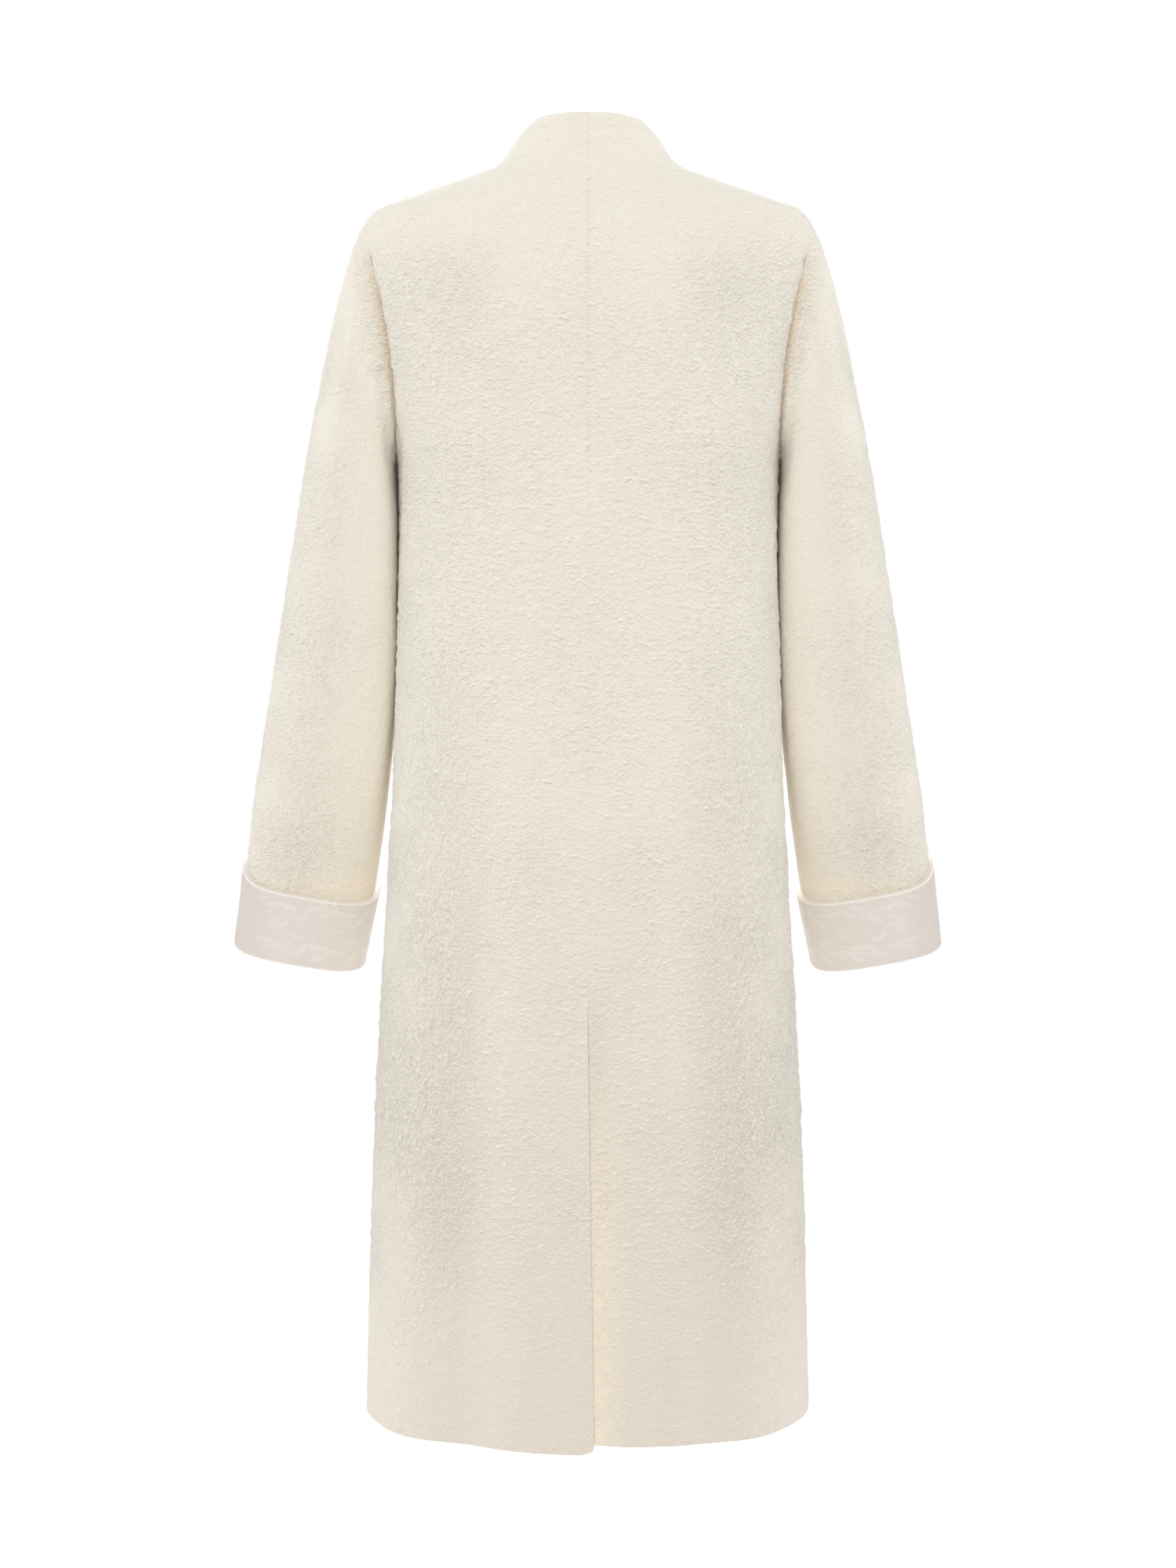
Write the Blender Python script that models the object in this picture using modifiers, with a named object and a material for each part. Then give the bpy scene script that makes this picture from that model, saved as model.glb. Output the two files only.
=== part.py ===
"""Long blazer in cream boiled wool, hollow and filled out as on a wearer.

Units are metres and +Z is up. The front faces -Y and the wearer's left is +X. The origin lies
between the shoulders, level with the foot of the neck, where the wearer holds the garment up.
Each sewn piece is one open surface through worked-out sections, thickened inwards to the cloth.
"""

import math
from collections import namedtuple

import bmesh
import bpy
import numpy as np

# Cloth and seams
WOOL = 0.0026  # thickness of the boiled wool
SATIN = 0.0022  # thickness of the faced cuff
SEAM = 0.0003  # gap between two sewn edges
LAP_GAP = 0.0010  # air between two lapped walls
SEAM_STRIP = 0.0025  # width of the narrow strip of faces along each seam
WOOL_COLOUR = (0.84, 0.79, 0.70)
WOOL_ROUGHNESS = 0.95
WOOL_SHEEN = 0.3
SATIN_COLOUR = (0.76, 0.70, 0.64)
SATIN_ROUGHNESS = 0.55
SATIN_SHEEN = 0.1

# Body: horizontal sections, top to bottom. Each is a rounded quarter outline for the back and
# another for the front; "square" is its exponent, 2 for an ellipse and more for fuller corners.
# From the armhole up to the shoulder the half width is that of the outline under the sleeve head.
Section = namedtuple("Section", "z half_width back front square")
SECTIONS = (
    Section(0.042, 0.0490, 0.0530, 0.0560, 2.00),
    Section(0.030, 0.0605, 0.0560, 0.0600, 2.00),
    Section(0.016, 0.0695, 0.0600, 0.0640, 2.00),
    Section(0.008, 0.0755, 0.0625, 0.0665, 2.00),
    Section(0.000, 0.0860, 0.0660, 0.0700, 2.00),
    Section(-0.009, 0.1085, 0.0710, 0.0750, 2.00),
    Section(-0.022, 0.1465, 0.0780, 0.0820, 2.05),
    Section(-0.030, 0.1685, 0.0818, 0.0858, 2.15),
    Section(-0.037, 0.1860, 0.0850, 0.0890, 2.25),
    Section(-0.045, 0.1930, 0.0895, 0.0935, 2.28),
    Section(-0.060, 0.2000, 0.0960, 0.1000, 2.30),
    Section(-0.085, 0.1990, 0.1050, 0.1090, 2.30),
    Section(-0.111, 0.1925, 0.1120, 0.1160, 2.30),
    Section(-0.148, 0.1835, 0.1190, 0.1230, 2.30),
    Section(-0.195, 0.1735, 0.1240, 0.1290, 2.30),
    Section(-0.236, 0.1667, 0.1255, 0.1315, 2.30),
    Section(-0.275, 0.1645, 0.1260, 0.1325, 2.30),
    Section(-0.320, 0.1642, 0.1264, 0.1328, 2.30),
    Section(-0.400, 0.1655, 0.1270, 0.1330, 2.30),
    Section(-0.506, 0.1682, 0.1280, 0.1330, 2.30),
    Section(-0.643, 0.1750, 0.1310, 0.1345, 2.30),
    Section(-0.780, 0.1826, 0.1345, 0.1370, 2.30),
    Section(-0.917, 0.1880, 0.1390, 0.1410, 2.30),
    Section(-1.092, 0.1925, 0.1440, 0.1450, 2.30),
)

# Neck edge
NECK_FOOT = 0.006  # height where the shoulder seam turns up into the stand
NECK_TOP = 0.042  # height of the stand's edge at the back and sides
NECK_FALL = 0.056  # how far that edge drops to centre front
FALL_ABOVE = -0.12  # the drop is taken up above this height

# Armhole: an egg-shaped loop on each side of the body
SHOULDER_POINT = -0.037
ARMHOLE_FOOT = -0.250
ARMHOLE_BACK = 0.058  # how far back of the side seam it reaches
ARMHOLE_FRONT = 0.066
ARMHOLE_SQUARE = 2.2

# Hem
HEM_SIDE = -1.0715  # height of the hem at the side seams
HEM_EASE = 0.25  # the hem's curve dies out this far above it

# How far each hem hangs below its height at the side; "share" runs from the centre line (0) there
Hem = namedtuple("Hem", "share back_left back_right front")
HEM = (
    Hem(0.00, 0.0145, 0.0068, 0.0105),
    Hem(0.15, 0.0120, 0.0087, 0.0095),
    Hem(0.43, 0.0068, 0.0060, 0.0065),
    Hem(0.63, 0.0042, 0.0026, 0.0041),
    Hem(0.80, 0.0014, 0.0010, 0.0020),
    Hem(1.00, 0.0000, 0.0000, 0.0000),
)

# Vent at centre back: the left back laps over the right one
VENT_TOP = -0.716
VENT_EASE_UP = 0.015
VENT_EASE_DOWN = 0.025
VENT_SLANT = 0.005  # how far the upper flap's edge has crossed centre back at the hem
VENT_UNDERLAP = 0.036
VENT_CORNER = 0.004  # rounding of the upper flap's lower corner

# Front closure: the right front laps over the left one
FRONT_LAP = 0.030
FRONT_LAP_NECK = 0.021
DIP_CLEAR = 0.006  # the under piece is fully dropped this far outside the upper edge
DIP_WIDTH = 0.018  # and it rises back to the surface over this width

# Soft folds that fall from the shoulder blades and the chest. "across" is the distance from the
# centre line at the hem; a positive height stands out from the body, a negative one is a trough.
Fold = namedtuple("Fold", "side facing across top full height spread")
FOLDS = (
    Fold(1, 1, 0.098, -0.42, -0.66, -0.0050, 0.024),
    Fold(1, 1, 0.150, -0.60, -0.86, 0.0040, 0.024),
    Fold(-1, 1, 0.096, -0.38, -0.60, -0.0045, 0.024),
    Fold(-1, 1, 0.142, -0.52, -0.78, 0.0030, 0.022),
    Fold(-1, 1, 0.060, -0.78, -0.98, -0.0030, 0.018),
    Fold(1, -1, 0.100, -0.45, -0.70, -0.0045, 0.024),
    Fold(1, -1, 0.148, -0.62, -0.88, 0.0035, 0.024),
    Fold(-1, -1, 0.098, -0.42, -0.68, -0.0045, 0.024),
    Fold(-1, -1, 0.146, -0.60, -0.88, 0.0035, 0.024),
)

# Sleeve: sections square to its line, from just below the armhole to the fold of the cuff
Station = namedtuple("Station", "z x y half_width half_depth")
STATIONS = (
    Station(-0.295, 0.2098, -0.0200, 0.0443, 0.0680),
    Station(-0.352, 0.2148, -0.0310, 0.0495, 0.0640),
    Station(-0.401, 0.2195, -0.0420, 0.0535, 0.0600),
    Station(-0.452, 0.2262, -0.0550, 0.0562, 0.0560),
    Station(-0.505, 0.2340, -0.0680, 0.0580, 0.0520),
    Station(-0.558, 0.2420, -0.0810, 0.0592, 0.0480),
    Station(-0.594, 0.2474, -0.0895, 0.0590, 0.0455),
    Station(-0.622, 0.2515, -0.0962, 0.0582, 0.0435),
    Station(-0.690, 0.2638, -0.1118, 0.0572, 0.0385),
)
SLEEVE_SQUARE = 2.1

# Sleeve head: how each quarter of it leaves the armhole. "lift" is the angle in degrees from the
# body's surface, "leave" and "arrive" are the lengths of the curve's two handles, and "clear" is
# the gap to the body's edge, wider where the two walls bend towards each other.
Head = namedtuple("Head", "around lift leave arrive clear")
HEAD = (
    Head(0.00, 14.0, 0.024, 0.115, 0.0008),
    Head(0.12, 40.0, 0.027, 0.090, 0.0003),
    Head(0.25, 55.0, 0.030, 0.060, 0.0003),
    Head(0.50, 128.0, 0.006, 0.014, 0.0003),
    Head(0.75, 55.0, 0.030, 0.060, 0.0003),
    Head(0.88, 40.0, 0.027, 0.090, 0.0003),
    Head(1.00, 14.0, 0.024, 0.115, 0.0008),
)

HEAD_TANGENT = 0.010  # the head runs into the sleeve along its sides over this height

# Cuff: turned up over the sleeve's end and a little way inside it
CUFF_HEIGHT = 0.069
CUFF_TURN_IN = 0.016
CUFF_GAP = 0.0006  # between the cuff and the sleeve's two faces at the fold
CUFF_FLARE_WIDTH = 0.0034  # extra half width at the upper edge
CUFF_FLARE_DEPTH = 0.0028
CUFF_FLARE_CURVE = 1.3  # above 1 the cuff opens most near its upper edge
CUFF_LEAN = 0.0014  # the upper edge stands this much nearer to the body
SLEEVE_END = 0.0045  # the sleeve stops this far above the fold

# Fineness of the meshes
BODY_COLUMNS = 12
LAP_COLUMNS = 3
LOWER_ROWS = 17
ARMHOLE_ROWS = 13
SHOULDER_ROWS = 7
NECK_ROWS = 5
AROUND_SLEEVE = 2 * ARMHOLE_ROWS
HEAD_RINGS = (0.0, 0.05, 0.14, 0.26, 0.40, 0.55, 0.70, 0.85, 1.0)
SLEEVE_RINGS = 10
CUFF_RINGS = 5
FOLD_STEPS = 4
TURN_IN_RINGS = 2
ROW_SAMPLES = 160  # points used to measure a row's length
EDGE_SAMPLES = 400  # points used to measure the armhole's edge
OVAL_SAMPLES = 720  # points used to measure an oval's length
SMALL_STEP = 1e-4  # step of height or turn for slopes


def smooth_curve(places, values):
    """A function through the values that is smooth and never overshoots them."""
    order = np.argsort(places)
    places = np.array(places, float)[order]
    values = np.array(values, float)[order]
    steps = np.diff(places)
    rises = np.diff(values) / steps
    level = rises[1:] * rises[:-1] <= 0
    total = np.where(level, 1.0, rises[1:] + rises[:-1])
    middle = np.where(level, 0.0, 2 * rises[1:] * rises[:-1] / total)
    slopes = np.concatenate([rises[:1], middle, rises[-1:]])

    def at(place):
        place = np.clip(place, places[0], places[-1])
        i = np.clip(np.searchsorted(places, place) - 1, 0, len(steps) - 1)
        s = (place - places[i]) / steps[i]
        ends = values[i] * (1 + 2 * s) * (1 - s) ** 2 + values[i + 1] * s**2 * (3 - 2 * s)
        leans = slopes[i] * s * (1 - s) ** 2 - slopes[i + 1] * s**2 * (1 - s)
        return ends + leans * steps[i]

    return at


def columns_of(table, key):
    """One smooth curve for each named column of a table, by its key column."""
    keys = [getattr(row, key) for row in table]
    return {
        name: smooth_curve(keys, [getattr(row, name) for row in table])
        for name in table[0]._fields
        if name != key
    }


def ease(share):
    """0 below 0, 1 above 1, with a soft start and end."""
    share = np.clip(share, 0.0, 1.0)
    return share * share * (3 - 2 * share)


def signed_power(value, power):
    return np.sign(value) * np.abs(value) ** power


def unit(vectors):
    return vectors / np.linalg.norm(vectors, axis=-1, keepdims=True)


BODY = columns_of(SECTIONS, "z")
SLEEVE = columns_of(STATIONS, "z")
HEAD_SHAPE = columns_of(HEAD, "around")
HEM_SHAPE = columns_of(HEM, "share")


def depth_at(z, facing):
    return BODY["back"](z) if facing > 0 else BODY["front"](z)


def body_point(z, turn, facing):
    """Outer face of the left half; turn is 0 on the centre line and pi/2 at the side."""
    power = 2 / BODY["square"](z)
    x = BODY["half_width"](z) * signed_power(np.sin(turn), power)
    y = facing * depth_at(z, facing) * signed_power(np.cos(turn), power)
    return np.stack([x, y, z + 0 * x], axis=-1)


def body_normal(z, turn, facing):
    step = SMALL_STEP
    along = body_point(z, turn + step, facing) - body_point(z, turn - step, facing)
    up = body_point(z + step, turn, facing) - body_point(z - step, turn, facing)
    return unit(-facing * np.cross(along, up))


def turn_of_x(z, x):
    share = np.clip(x / BODY["half_width"](z), -1, 1)
    return np.arcsin(signed_power(share, BODY["square"](z) / 2))


def turn_of_y(z, y, facing):
    share = np.clip(y / depth_at(z, facing), 0, 1)
    return np.arccos(share ** (BODY["square"](z) / 2))


def armhole_depth(z, facing):
    """Distance of the armhole's edge from the side seam plane; 0 above and below it."""
    middle = (SHOULDER_POINT + ARMHOLE_FOOT) / 2
    half = (SHOULDER_POINT - ARMHOLE_FOOT) / 2
    reach = ARMHOLE_BACK if facing > 0 else ARMHOLE_FRONT
    share = np.clip(np.abs(z - middle) / half, 0, 1)
    return reach * (1 - share**ARMHOLE_SQUARE) ** (1 / ARMHOLE_SQUARE)


def side_turn(z, facing):
    """Where a row of a panel ends: at the side seam, the armhole or the shoulder seam."""
    return turn_of_y(z, np.maximum(armhole_depth(z, facing), SEAM / 2), facing)


def front_lap(z):
    return FRONT_LAP + (FRONT_LAP_NECK - FRONT_LAP) * ease((z - FALL_ABOVE) / -FALL_ABOVE)


def vent_open(z):
    """0 above the vent and 1 where its two flaps lie fully on each other."""
    return ease((VENT_TOP + VENT_EASE_UP - z) / (VENT_EASE_UP + VENT_EASE_DOWN))


def upper_flap_edge(z):
    start = VENT_TOP - VENT_EASE_DOWN
    return SEAM / 2 - VENT_SLANT * np.clip((start - z) / (start - HEM_SIDE), 0, 1)


def dip(x, upper_edge):
    """Share of the full drop of an under piece, by how near it is to the upper piece's edge."""
    return ease((upper_edge + DIP_CLEAR + DIP_WIDTH - x) / DIP_WIDTH)


def fold_height(side, facing, x, z):
    """Height of the soft folds over the plain section at these points."""
    height = 0 * x
    for fold in FOLDS:
        if (fold.side, fold.facing) != (side, facing):
            continue
        middle = fold.across * BODY["half_width"](z) / BODY["half_width"](HEM_SIDE)
        bell = np.exp(-(((x - middle) / fold.spread) ** 2))
        height = height + fold.height * bell * ease((fold.top - z) / (fold.top - fold.full))
    return height


def hem_drop(side, facing, share):
    if facing < 0:
        return HEM_SHAPE["front"](share)
    return HEM_SHAPE["back_left" if side > 0 else "back_right"](share)


Panel = namedtuple("Panel", "name side facing lapped")
PANELS = (
    Panel("back_left", 1, 1, "over"),
    Panel("back_right", -1, 1, "under"),
    Panel("front_left", 1, -1, "under"),
    Panel("front_right", -1, -1, "over"),
)


def armhole_heights():
    """Heights of the rows that end at the armhole, foot first, evenly spaced along its edge."""
    middle = (SHOULDER_POINT + ARMHOLE_FOOT) / 2
    half = (SHOULDER_POINT - ARMHOLE_FOOT) / 2
    angle = np.linspace(math.pi, 0, EDGE_SAMPLES)
    z = middle + half * signed_power(np.cos(angle), 2 / ARMHOLE_SQUARE)
    y = ARMHOLE_BACK * np.abs(np.sin(angle)) ** (2 / ARMHOLE_SQUARE)
    return resample(np.stack([z, y], axis=-1), np.linspace(0, 1, ARMHOLE_ROWS + 1))[:, 0]


def row_heights():
    """Heights of a panel's rows at its side, from the hem to the neck's edge."""
    lower = np.linspace(HEM_SIDE, ARMHOLE_FOOT, LOWER_ROWS + 1)
    shoulder = np.linspace(SHOULDER_POINT, NECK_FOOT, SHOULDER_ROWS + 1)
    neck = np.linspace(NECK_FOOT, NECK_TOP, NECK_ROWS + 1)
    return np.concatenate([lower, armhole_heights()[1:], shoulder[1:], neck[1:]])


def seam_spacing(count, length):
    """Shares along a row: a narrow strip at each end and even steps between."""
    strip = SEAM_STRIP / length
    return np.concatenate([[0.0], np.linspace(strip, 1 - strip, count - 1), [1.0]])


def first_edge(panel, z):
    """Distance of a panel's inner edge from the centre line, negative where it laps over it."""
    if panel.facing < 0:
        return -front_lap(z)
    return upper_flap_edge(z) if panel.lapped == "over" else SEAM / 2


def row_line(panel, height, share):
    """(heights, turns) along one row; share runs from 0 at the inner edge to 1 at the side."""

    def shaped(share):
        near_hem = ease(1 - (height - HEM_SIDE) / HEM_EASE)
        z = height - hem_drop(panel.side, panel.facing, share) * near_hem
        if panel.facing < 0:
            high = np.clip((height - FALL_ABOVE) / (NECK_TOP - FALL_ABOVE), 0, 1)
            z = z - NECK_FALL * high**2 * np.cos(share * math.pi / 2) ** 2
        return z

    start = shaped(0.0)
    first = turn_of_x(start, first_edge(panel, start))
    last = side_turn(height, panel.facing)
    return shaped(share), first + (last - first) * share


def panel_grid(panel):
    """(heights, turns) of a panel's points, with the vent's underlap as leading columns."""
    grid = []
    fine = np.linspace(0, 1, ROW_SAMPLES)
    for height in row_heights():
        z, turns = row_line(panel, height, fine)
        steps = np.linalg.norm(np.diff(body_point(z, turns, panel.facing), axis=0), axis=1)
        lengths = np.concatenate([[0.0], steps.cumsum()])
        wanted = seam_spacing(BODY_COLUMNS, lengths[-1]) * lengths[-1]
        z, turns = row_line(panel, height, np.interp(wanted, lengths, fine))
        if panel.facing > 0 and panel.lapped == "under":
            lap = np.linspace(turn_of_x(z[0], -VENT_UNDERLAP), turns[0], LAP_COLUMNS + 1)[:-1]
            turns = np.concatenate([lap, turns])
            z = np.concatenate([0 * lap + z[0], z])
        grid.append((z, turns))
    return np.array(grid).transpose(1, 0, 2)


def panel_points(panel):
    z, turns = panel_grid(panel)
    points = body_point(z, turns, panel.facing)
    normals = body_normal(z, turns, panel.facing)
    x = points[..., 0]
    outward = fold_height(panel.side, panel.facing, x, z)
    if panel.lapped == "under":
        drop = WOOL + LAP_GAP
        if panel.facing > 0:
            outward = outward - drop * dip(x, -upper_flap_edge(z)) * vent_open(z)
        else:
            outward = outward - drop * dip(x, front_lap(z))
    points = points + outward[..., None] * normals
    if panel.facing > 0 and panel.lapped == "over":
        points[0, 0, 2] += VENT_CORNER
    points[..., 0] *= panel.side
    return points


def missing_cells(panel):
    """Cells left out of a panel's grid: the underlap's columns above the vent."""
    if not (panel.facing > 0 and panel.lapped == "under"):
        return lambda row, column: False
    heights = row_heights()
    top = VENT_TOP - VENT_EASE_DOWN
    return lambda row, column: column < LAP_COLUMNS and heights[row + 1] > top


def armhole_loop():
    """The left armhole's edge from the shoulder point down the back and up the front.

    Returns its points, which are the ends of the panels' rows, and the body's normals there.
    """
    heights = armhole_heights()
    down, up = heights[::-1], heights[1:-1]
    points, normals = [], []
    for facing, part in ((1, down), (-1, up)):
        turn = side_turn(part, facing)
        points.append(body_point(part, turn, facing))
        normals.append(body_normal(part, turn, facing))
    points = np.concatenate(points)
    points[[0, len(down) - 1], 1] = 0.0
    return points, np.concatenate(normals)


def station_frame(z):
    """Centre, outward direction, backward direction and line of the left sleeve at a height."""
    above = min(z + SMALL_STEP, STATIONS[0].z)
    below = max(z - SMALL_STEP, STATIONS[-1].z)

    def centre(height):
        return np.array([SLEEVE["x"](height), SLEEVE["y"](height), height])

    line = unit(centre(below) - centre(above))
    outward = unit(np.array([1.0, 0.0, 0.0]) - line * line[0])
    backward = np.cross(outward, line)
    return centre(z), outward, backward * np.sign(backward[1]), line


def resample(points, shares):
    """Points at these shares of a line's length."""
    steps = np.linalg.norm(np.diff(points, axis=0), axis=1)
    lengths = np.concatenate([[0.0], steps.cumsum()])
    wanted = shares * lengths[-1]
    return np.stack([np.interp(wanted, lengths, column) for column in points.T], axis=-1)


def oval(count, half_width, half_depth, square):
    """Offsets (out, back) round an oval, from its outer point backwards, evenly spaced."""
    angle = np.linspace(0, 2 * math.pi, OVAL_SAMPLES)
    out = half_width * signed_power(np.cos(angle), 2 / square)
    back = half_depth * signed_power(np.sin(angle), 2 / square)
    ring = resample(np.stack([out, back], axis=-1), np.linspace(0, 1, count + 1)[:-1])
    return ring[:, 0], ring[:, 1]


def sleeve_ring(count, z, half_width, half_depth):
    centre, outward, backward, _ = station_frame(z)
    out, back = oval(count, half_width, half_depth, SLEEVE_SQUARE)
    return centre + out[:, None] * outward + back[:, None] * backward


def sleeve_head(count, shares):
    """Rings from the armhole to the first station, along one curve for each point of the loop."""
    loop, normals = armhole_loop()
    direction = unit(np.roll(loop, -1, axis=0) - np.roll(loop, 1, axis=0))
    away = unit(np.cross(direction, normals))
    around = np.arange(count) / count
    lift = np.radians(HEAD_SHAPE["lift"](around))[:, None]
    leave = away * np.cos(lift) + normals * np.sin(lift)
    top = STATIONS[0].z
    lower = top - HEAD_TANGENT
    end = sleeve_ring(count, top, SLEEVE["half_width"](top), SLEEVE["half_depth"](top))
    below = sleeve_ring(count, lower, SLEEVE["half_width"](lower), SLEEVE["half_depth"](lower))
    line = unit(below - end)
    start = loop + HEAD_SHAPE["clear"](around)[:, None] * away
    first = start + HEAD_SHAPE["leave"](around)[:, None] * leave
    last = end - HEAD_SHAPE["arrive"](around)[:, None] * line
    rings = []
    for s in shares:
        ring = start * (1 - s) ** 3 + 3 * first * s * (1 - s) ** 2
        rings.append(ring + 3 * last * s**2 * (1 - s) + end * s**3)
    return rings


def sleeve_points(side):
    rings = sleeve_head(AROUND_SLEEVE, HEAD_RINGS)
    fold = STATIONS[-1].z
    _, _, _, line = station_frame(fold)
    end = fold - SLEEVE_END * line[2]
    for z in np.linspace(STATIONS[0].z, end, SLEEVE_RINGS + 1)[1:]:
        rings.append(
            sleeve_ring(AROUND_SLEEVE, z, SLEEVE["half_width"](z), SLEEVE["half_depth"](z))
        )
    points = np.array(rings)
    points[..., 0] *= side
    return points


def cuff_section():
    """(height above the fold, extra half width, extra half depth, lean) down, round and up."""
    outside = CUFF_GAP + SATIN
    inside = -WOOL - CUFF_GAP - SATIN
    radius = (outside - inside) / 2
    middle = (outside + inside) / 2
    steps = []
    for height in np.linspace(CUFF_HEIGHT, radius, CUFF_RINGS + 1):
        flare = ((height - radius) / (CUFF_HEIGHT - radius)) ** CUFF_FLARE_CURVE
        wider = outside + CUFF_FLARE_WIDTH * flare
        deeper = outside + CUFF_FLARE_DEPTH * flare
        steps.append((height, wider, deeper, CUFF_LEAN * flare))
    for turn in np.linspace(0, math.pi, FOLD_STEPS + 1)[1:]:
        reach = middle + radius * math.cos(turn)
        steps.append((radius - radius * math.sin(turn), reach, reach, 0.0))
    for height in np.linspace(radius, CUFF_TURN_IN, TURN_IN_RINGS + 1)[1:]:
        steps.append((height, inside, inside, 0.0))
    return steps


def cuff_points(side):
    fold = STATIONS[-1].z
    centre, outward, backward, line = station_frame(fold)
    rings = []
    for height, extra_width, extra_depth, lean in cuff_section():
        z = fold - height * line[2]
        out, back = oval(
            AROUND_SLEEVE,
            SLEEVE["half_width"](z) + extra_width,
            SLEEVE["half_depth"](z) + extra_depth,
            SLEEVE_SQUARE,
        )
        middle = centre - height * line - lean * outward
        rings.append(middle + out[:, None] * outward + back[:, None] * backward)
    points = np.array(rings)
    points[..., 0] *= side
    return points


Cloth = namedtuple("Cloth", "word thickness colour roughness sheen")
WOOL_CLOTH = Cloth("wool", WOOL, WOOL_COLOUR, WOOL_ROUGHNESS, WOOL_SHEEN)
SATIN_CLOTH = Cloth("satin", SATIN, SATIN_COLOUR, SATIN_ROUGHNESS, SATIN_SHEEN)


def cloth_material(name, cloth):
    material = bpy.data.materials.new(cloth.word + "_" + name)
    material.use_nodes = True
    shader = material.node_tree.nodes["Principled BSDF"]
    shader.inputs["Base Color"].default_value = (*cloth.colour, 1.0)
    shader.inputs["Roughness"].default_value = cloth.roughness
    shader.inputs["Metallic"].default_value = 0.0
    shader.inputs["Sheen Weight"].default_value = cloth.sheen
    return material


def grid_mesh(name, points, closed, skip=lambda row, column: False):
    """An open surface through a grid of points, its faces turned outwards."""
    mesh = bmesh.new()
    rows, columns = points.shape[:2]
    corners = [[mesh.verts.new(point) for point in row] for row in points]
    for row in range(rows - 1):
        for column in range(columns if closed else columns - 1):
            if skip(row, column):
                continue
            beside = (column + 1) % columns
            mesh.faces.new(
                (
                    corners[row][column],
                    corners[row][beside],
                    corners[row + 1][beside],
                    corners[row + 1][column],
                )
            )
    loose = [vertex for vertex in mesh.verts if not vertex.link_faces]
    bmesh.ops.delete(mesh, geom=loose, context="VERTS")
    data = bpy.data.meshes.new(name)
    mesh.to_mesh(data)
    mesh.free()
    return data


def add_piece(collection, name, data, flip, cloth):
    """One sewn piece: its surface, thickened inwards."""
    if flip:
        data.flip_normals()
    data.shade_smooth()
    data.materials.append(cloth_material(name, cloth))
    piece = bpy.data.objects.new(name, data)
    collection.objects.link(piece)
    wall = piece.modifiers.new("Cloth", "SOLIDIFY")
    wall.thickness = cloth.thickness
    wall.offset = -1.0


def clear_scene():
    for item in list(bpy.data.objects):
        bpy.data.objects.remove(item, do_unlink=True)


def main():
    clear_scene()
    collection = bpy.data.collections.new("long_blazer")
    bpy.context.scene.collection.children.link(collection)
    for panel in PANELS:
        data = grid_mesh(panel.name, panel_points(panel), False, missing_cells(panel))
        add_piece(collection, panel.name, data, panel.side * panel.facing > 0, WOOL_CLOTH)
    for side, word in ((1, "left"), (-1, "right")):
        sleeve = grid_mesh("sleeve_" + word, sleeve_points(side), True)
        add_piece(collection, "sleeve_" + word, sleeve, side > 0, WOOL_CLOTH)
        cuff = grid_mesh("cuff_" + word, cuff_points(side), True)
        add_piece(collection, "cuff_" + word, cuff, side > 0, SATIN_CLOTH)


main()
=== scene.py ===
"""Looks of the long blazer: a cloth shell on each solid's form, materials, light and camera.

Units are metres and +Z is up. The front faces -Y and the wearer's left is +X. The tables and the
functions of the form are those of the part's source; the meshes here are much finer and carry the
creases, the seams' hollows and the crinkled face of the cloth.
"""

import math
from collections import namedtuple

import bpy
import numpy as np
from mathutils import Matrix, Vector

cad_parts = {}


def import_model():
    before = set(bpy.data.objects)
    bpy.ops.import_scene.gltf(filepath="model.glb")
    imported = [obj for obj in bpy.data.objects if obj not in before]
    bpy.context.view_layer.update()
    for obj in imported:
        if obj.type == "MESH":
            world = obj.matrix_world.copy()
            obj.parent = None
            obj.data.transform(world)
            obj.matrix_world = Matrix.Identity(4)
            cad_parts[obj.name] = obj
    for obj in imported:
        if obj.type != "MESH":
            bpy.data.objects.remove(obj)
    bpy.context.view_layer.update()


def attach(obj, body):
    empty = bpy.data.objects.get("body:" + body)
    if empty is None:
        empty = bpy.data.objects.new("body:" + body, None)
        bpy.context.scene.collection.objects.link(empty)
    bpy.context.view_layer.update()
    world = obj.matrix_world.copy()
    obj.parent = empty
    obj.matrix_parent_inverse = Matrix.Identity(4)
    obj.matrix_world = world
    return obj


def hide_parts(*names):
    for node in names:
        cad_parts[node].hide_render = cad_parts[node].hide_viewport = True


def table(kind, rows):
    """The rows as named tuples of this kind."""
    return tuple(kind(*row) for row in rows)


# ---- sizes shared with the part

WOOL = 0.0026
SATIN = 0.0022
SEAM = 0.00004  # sewn edges meet closely, so that no seam shows as a dark line
LAP_GAP = 0.0010

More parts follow.
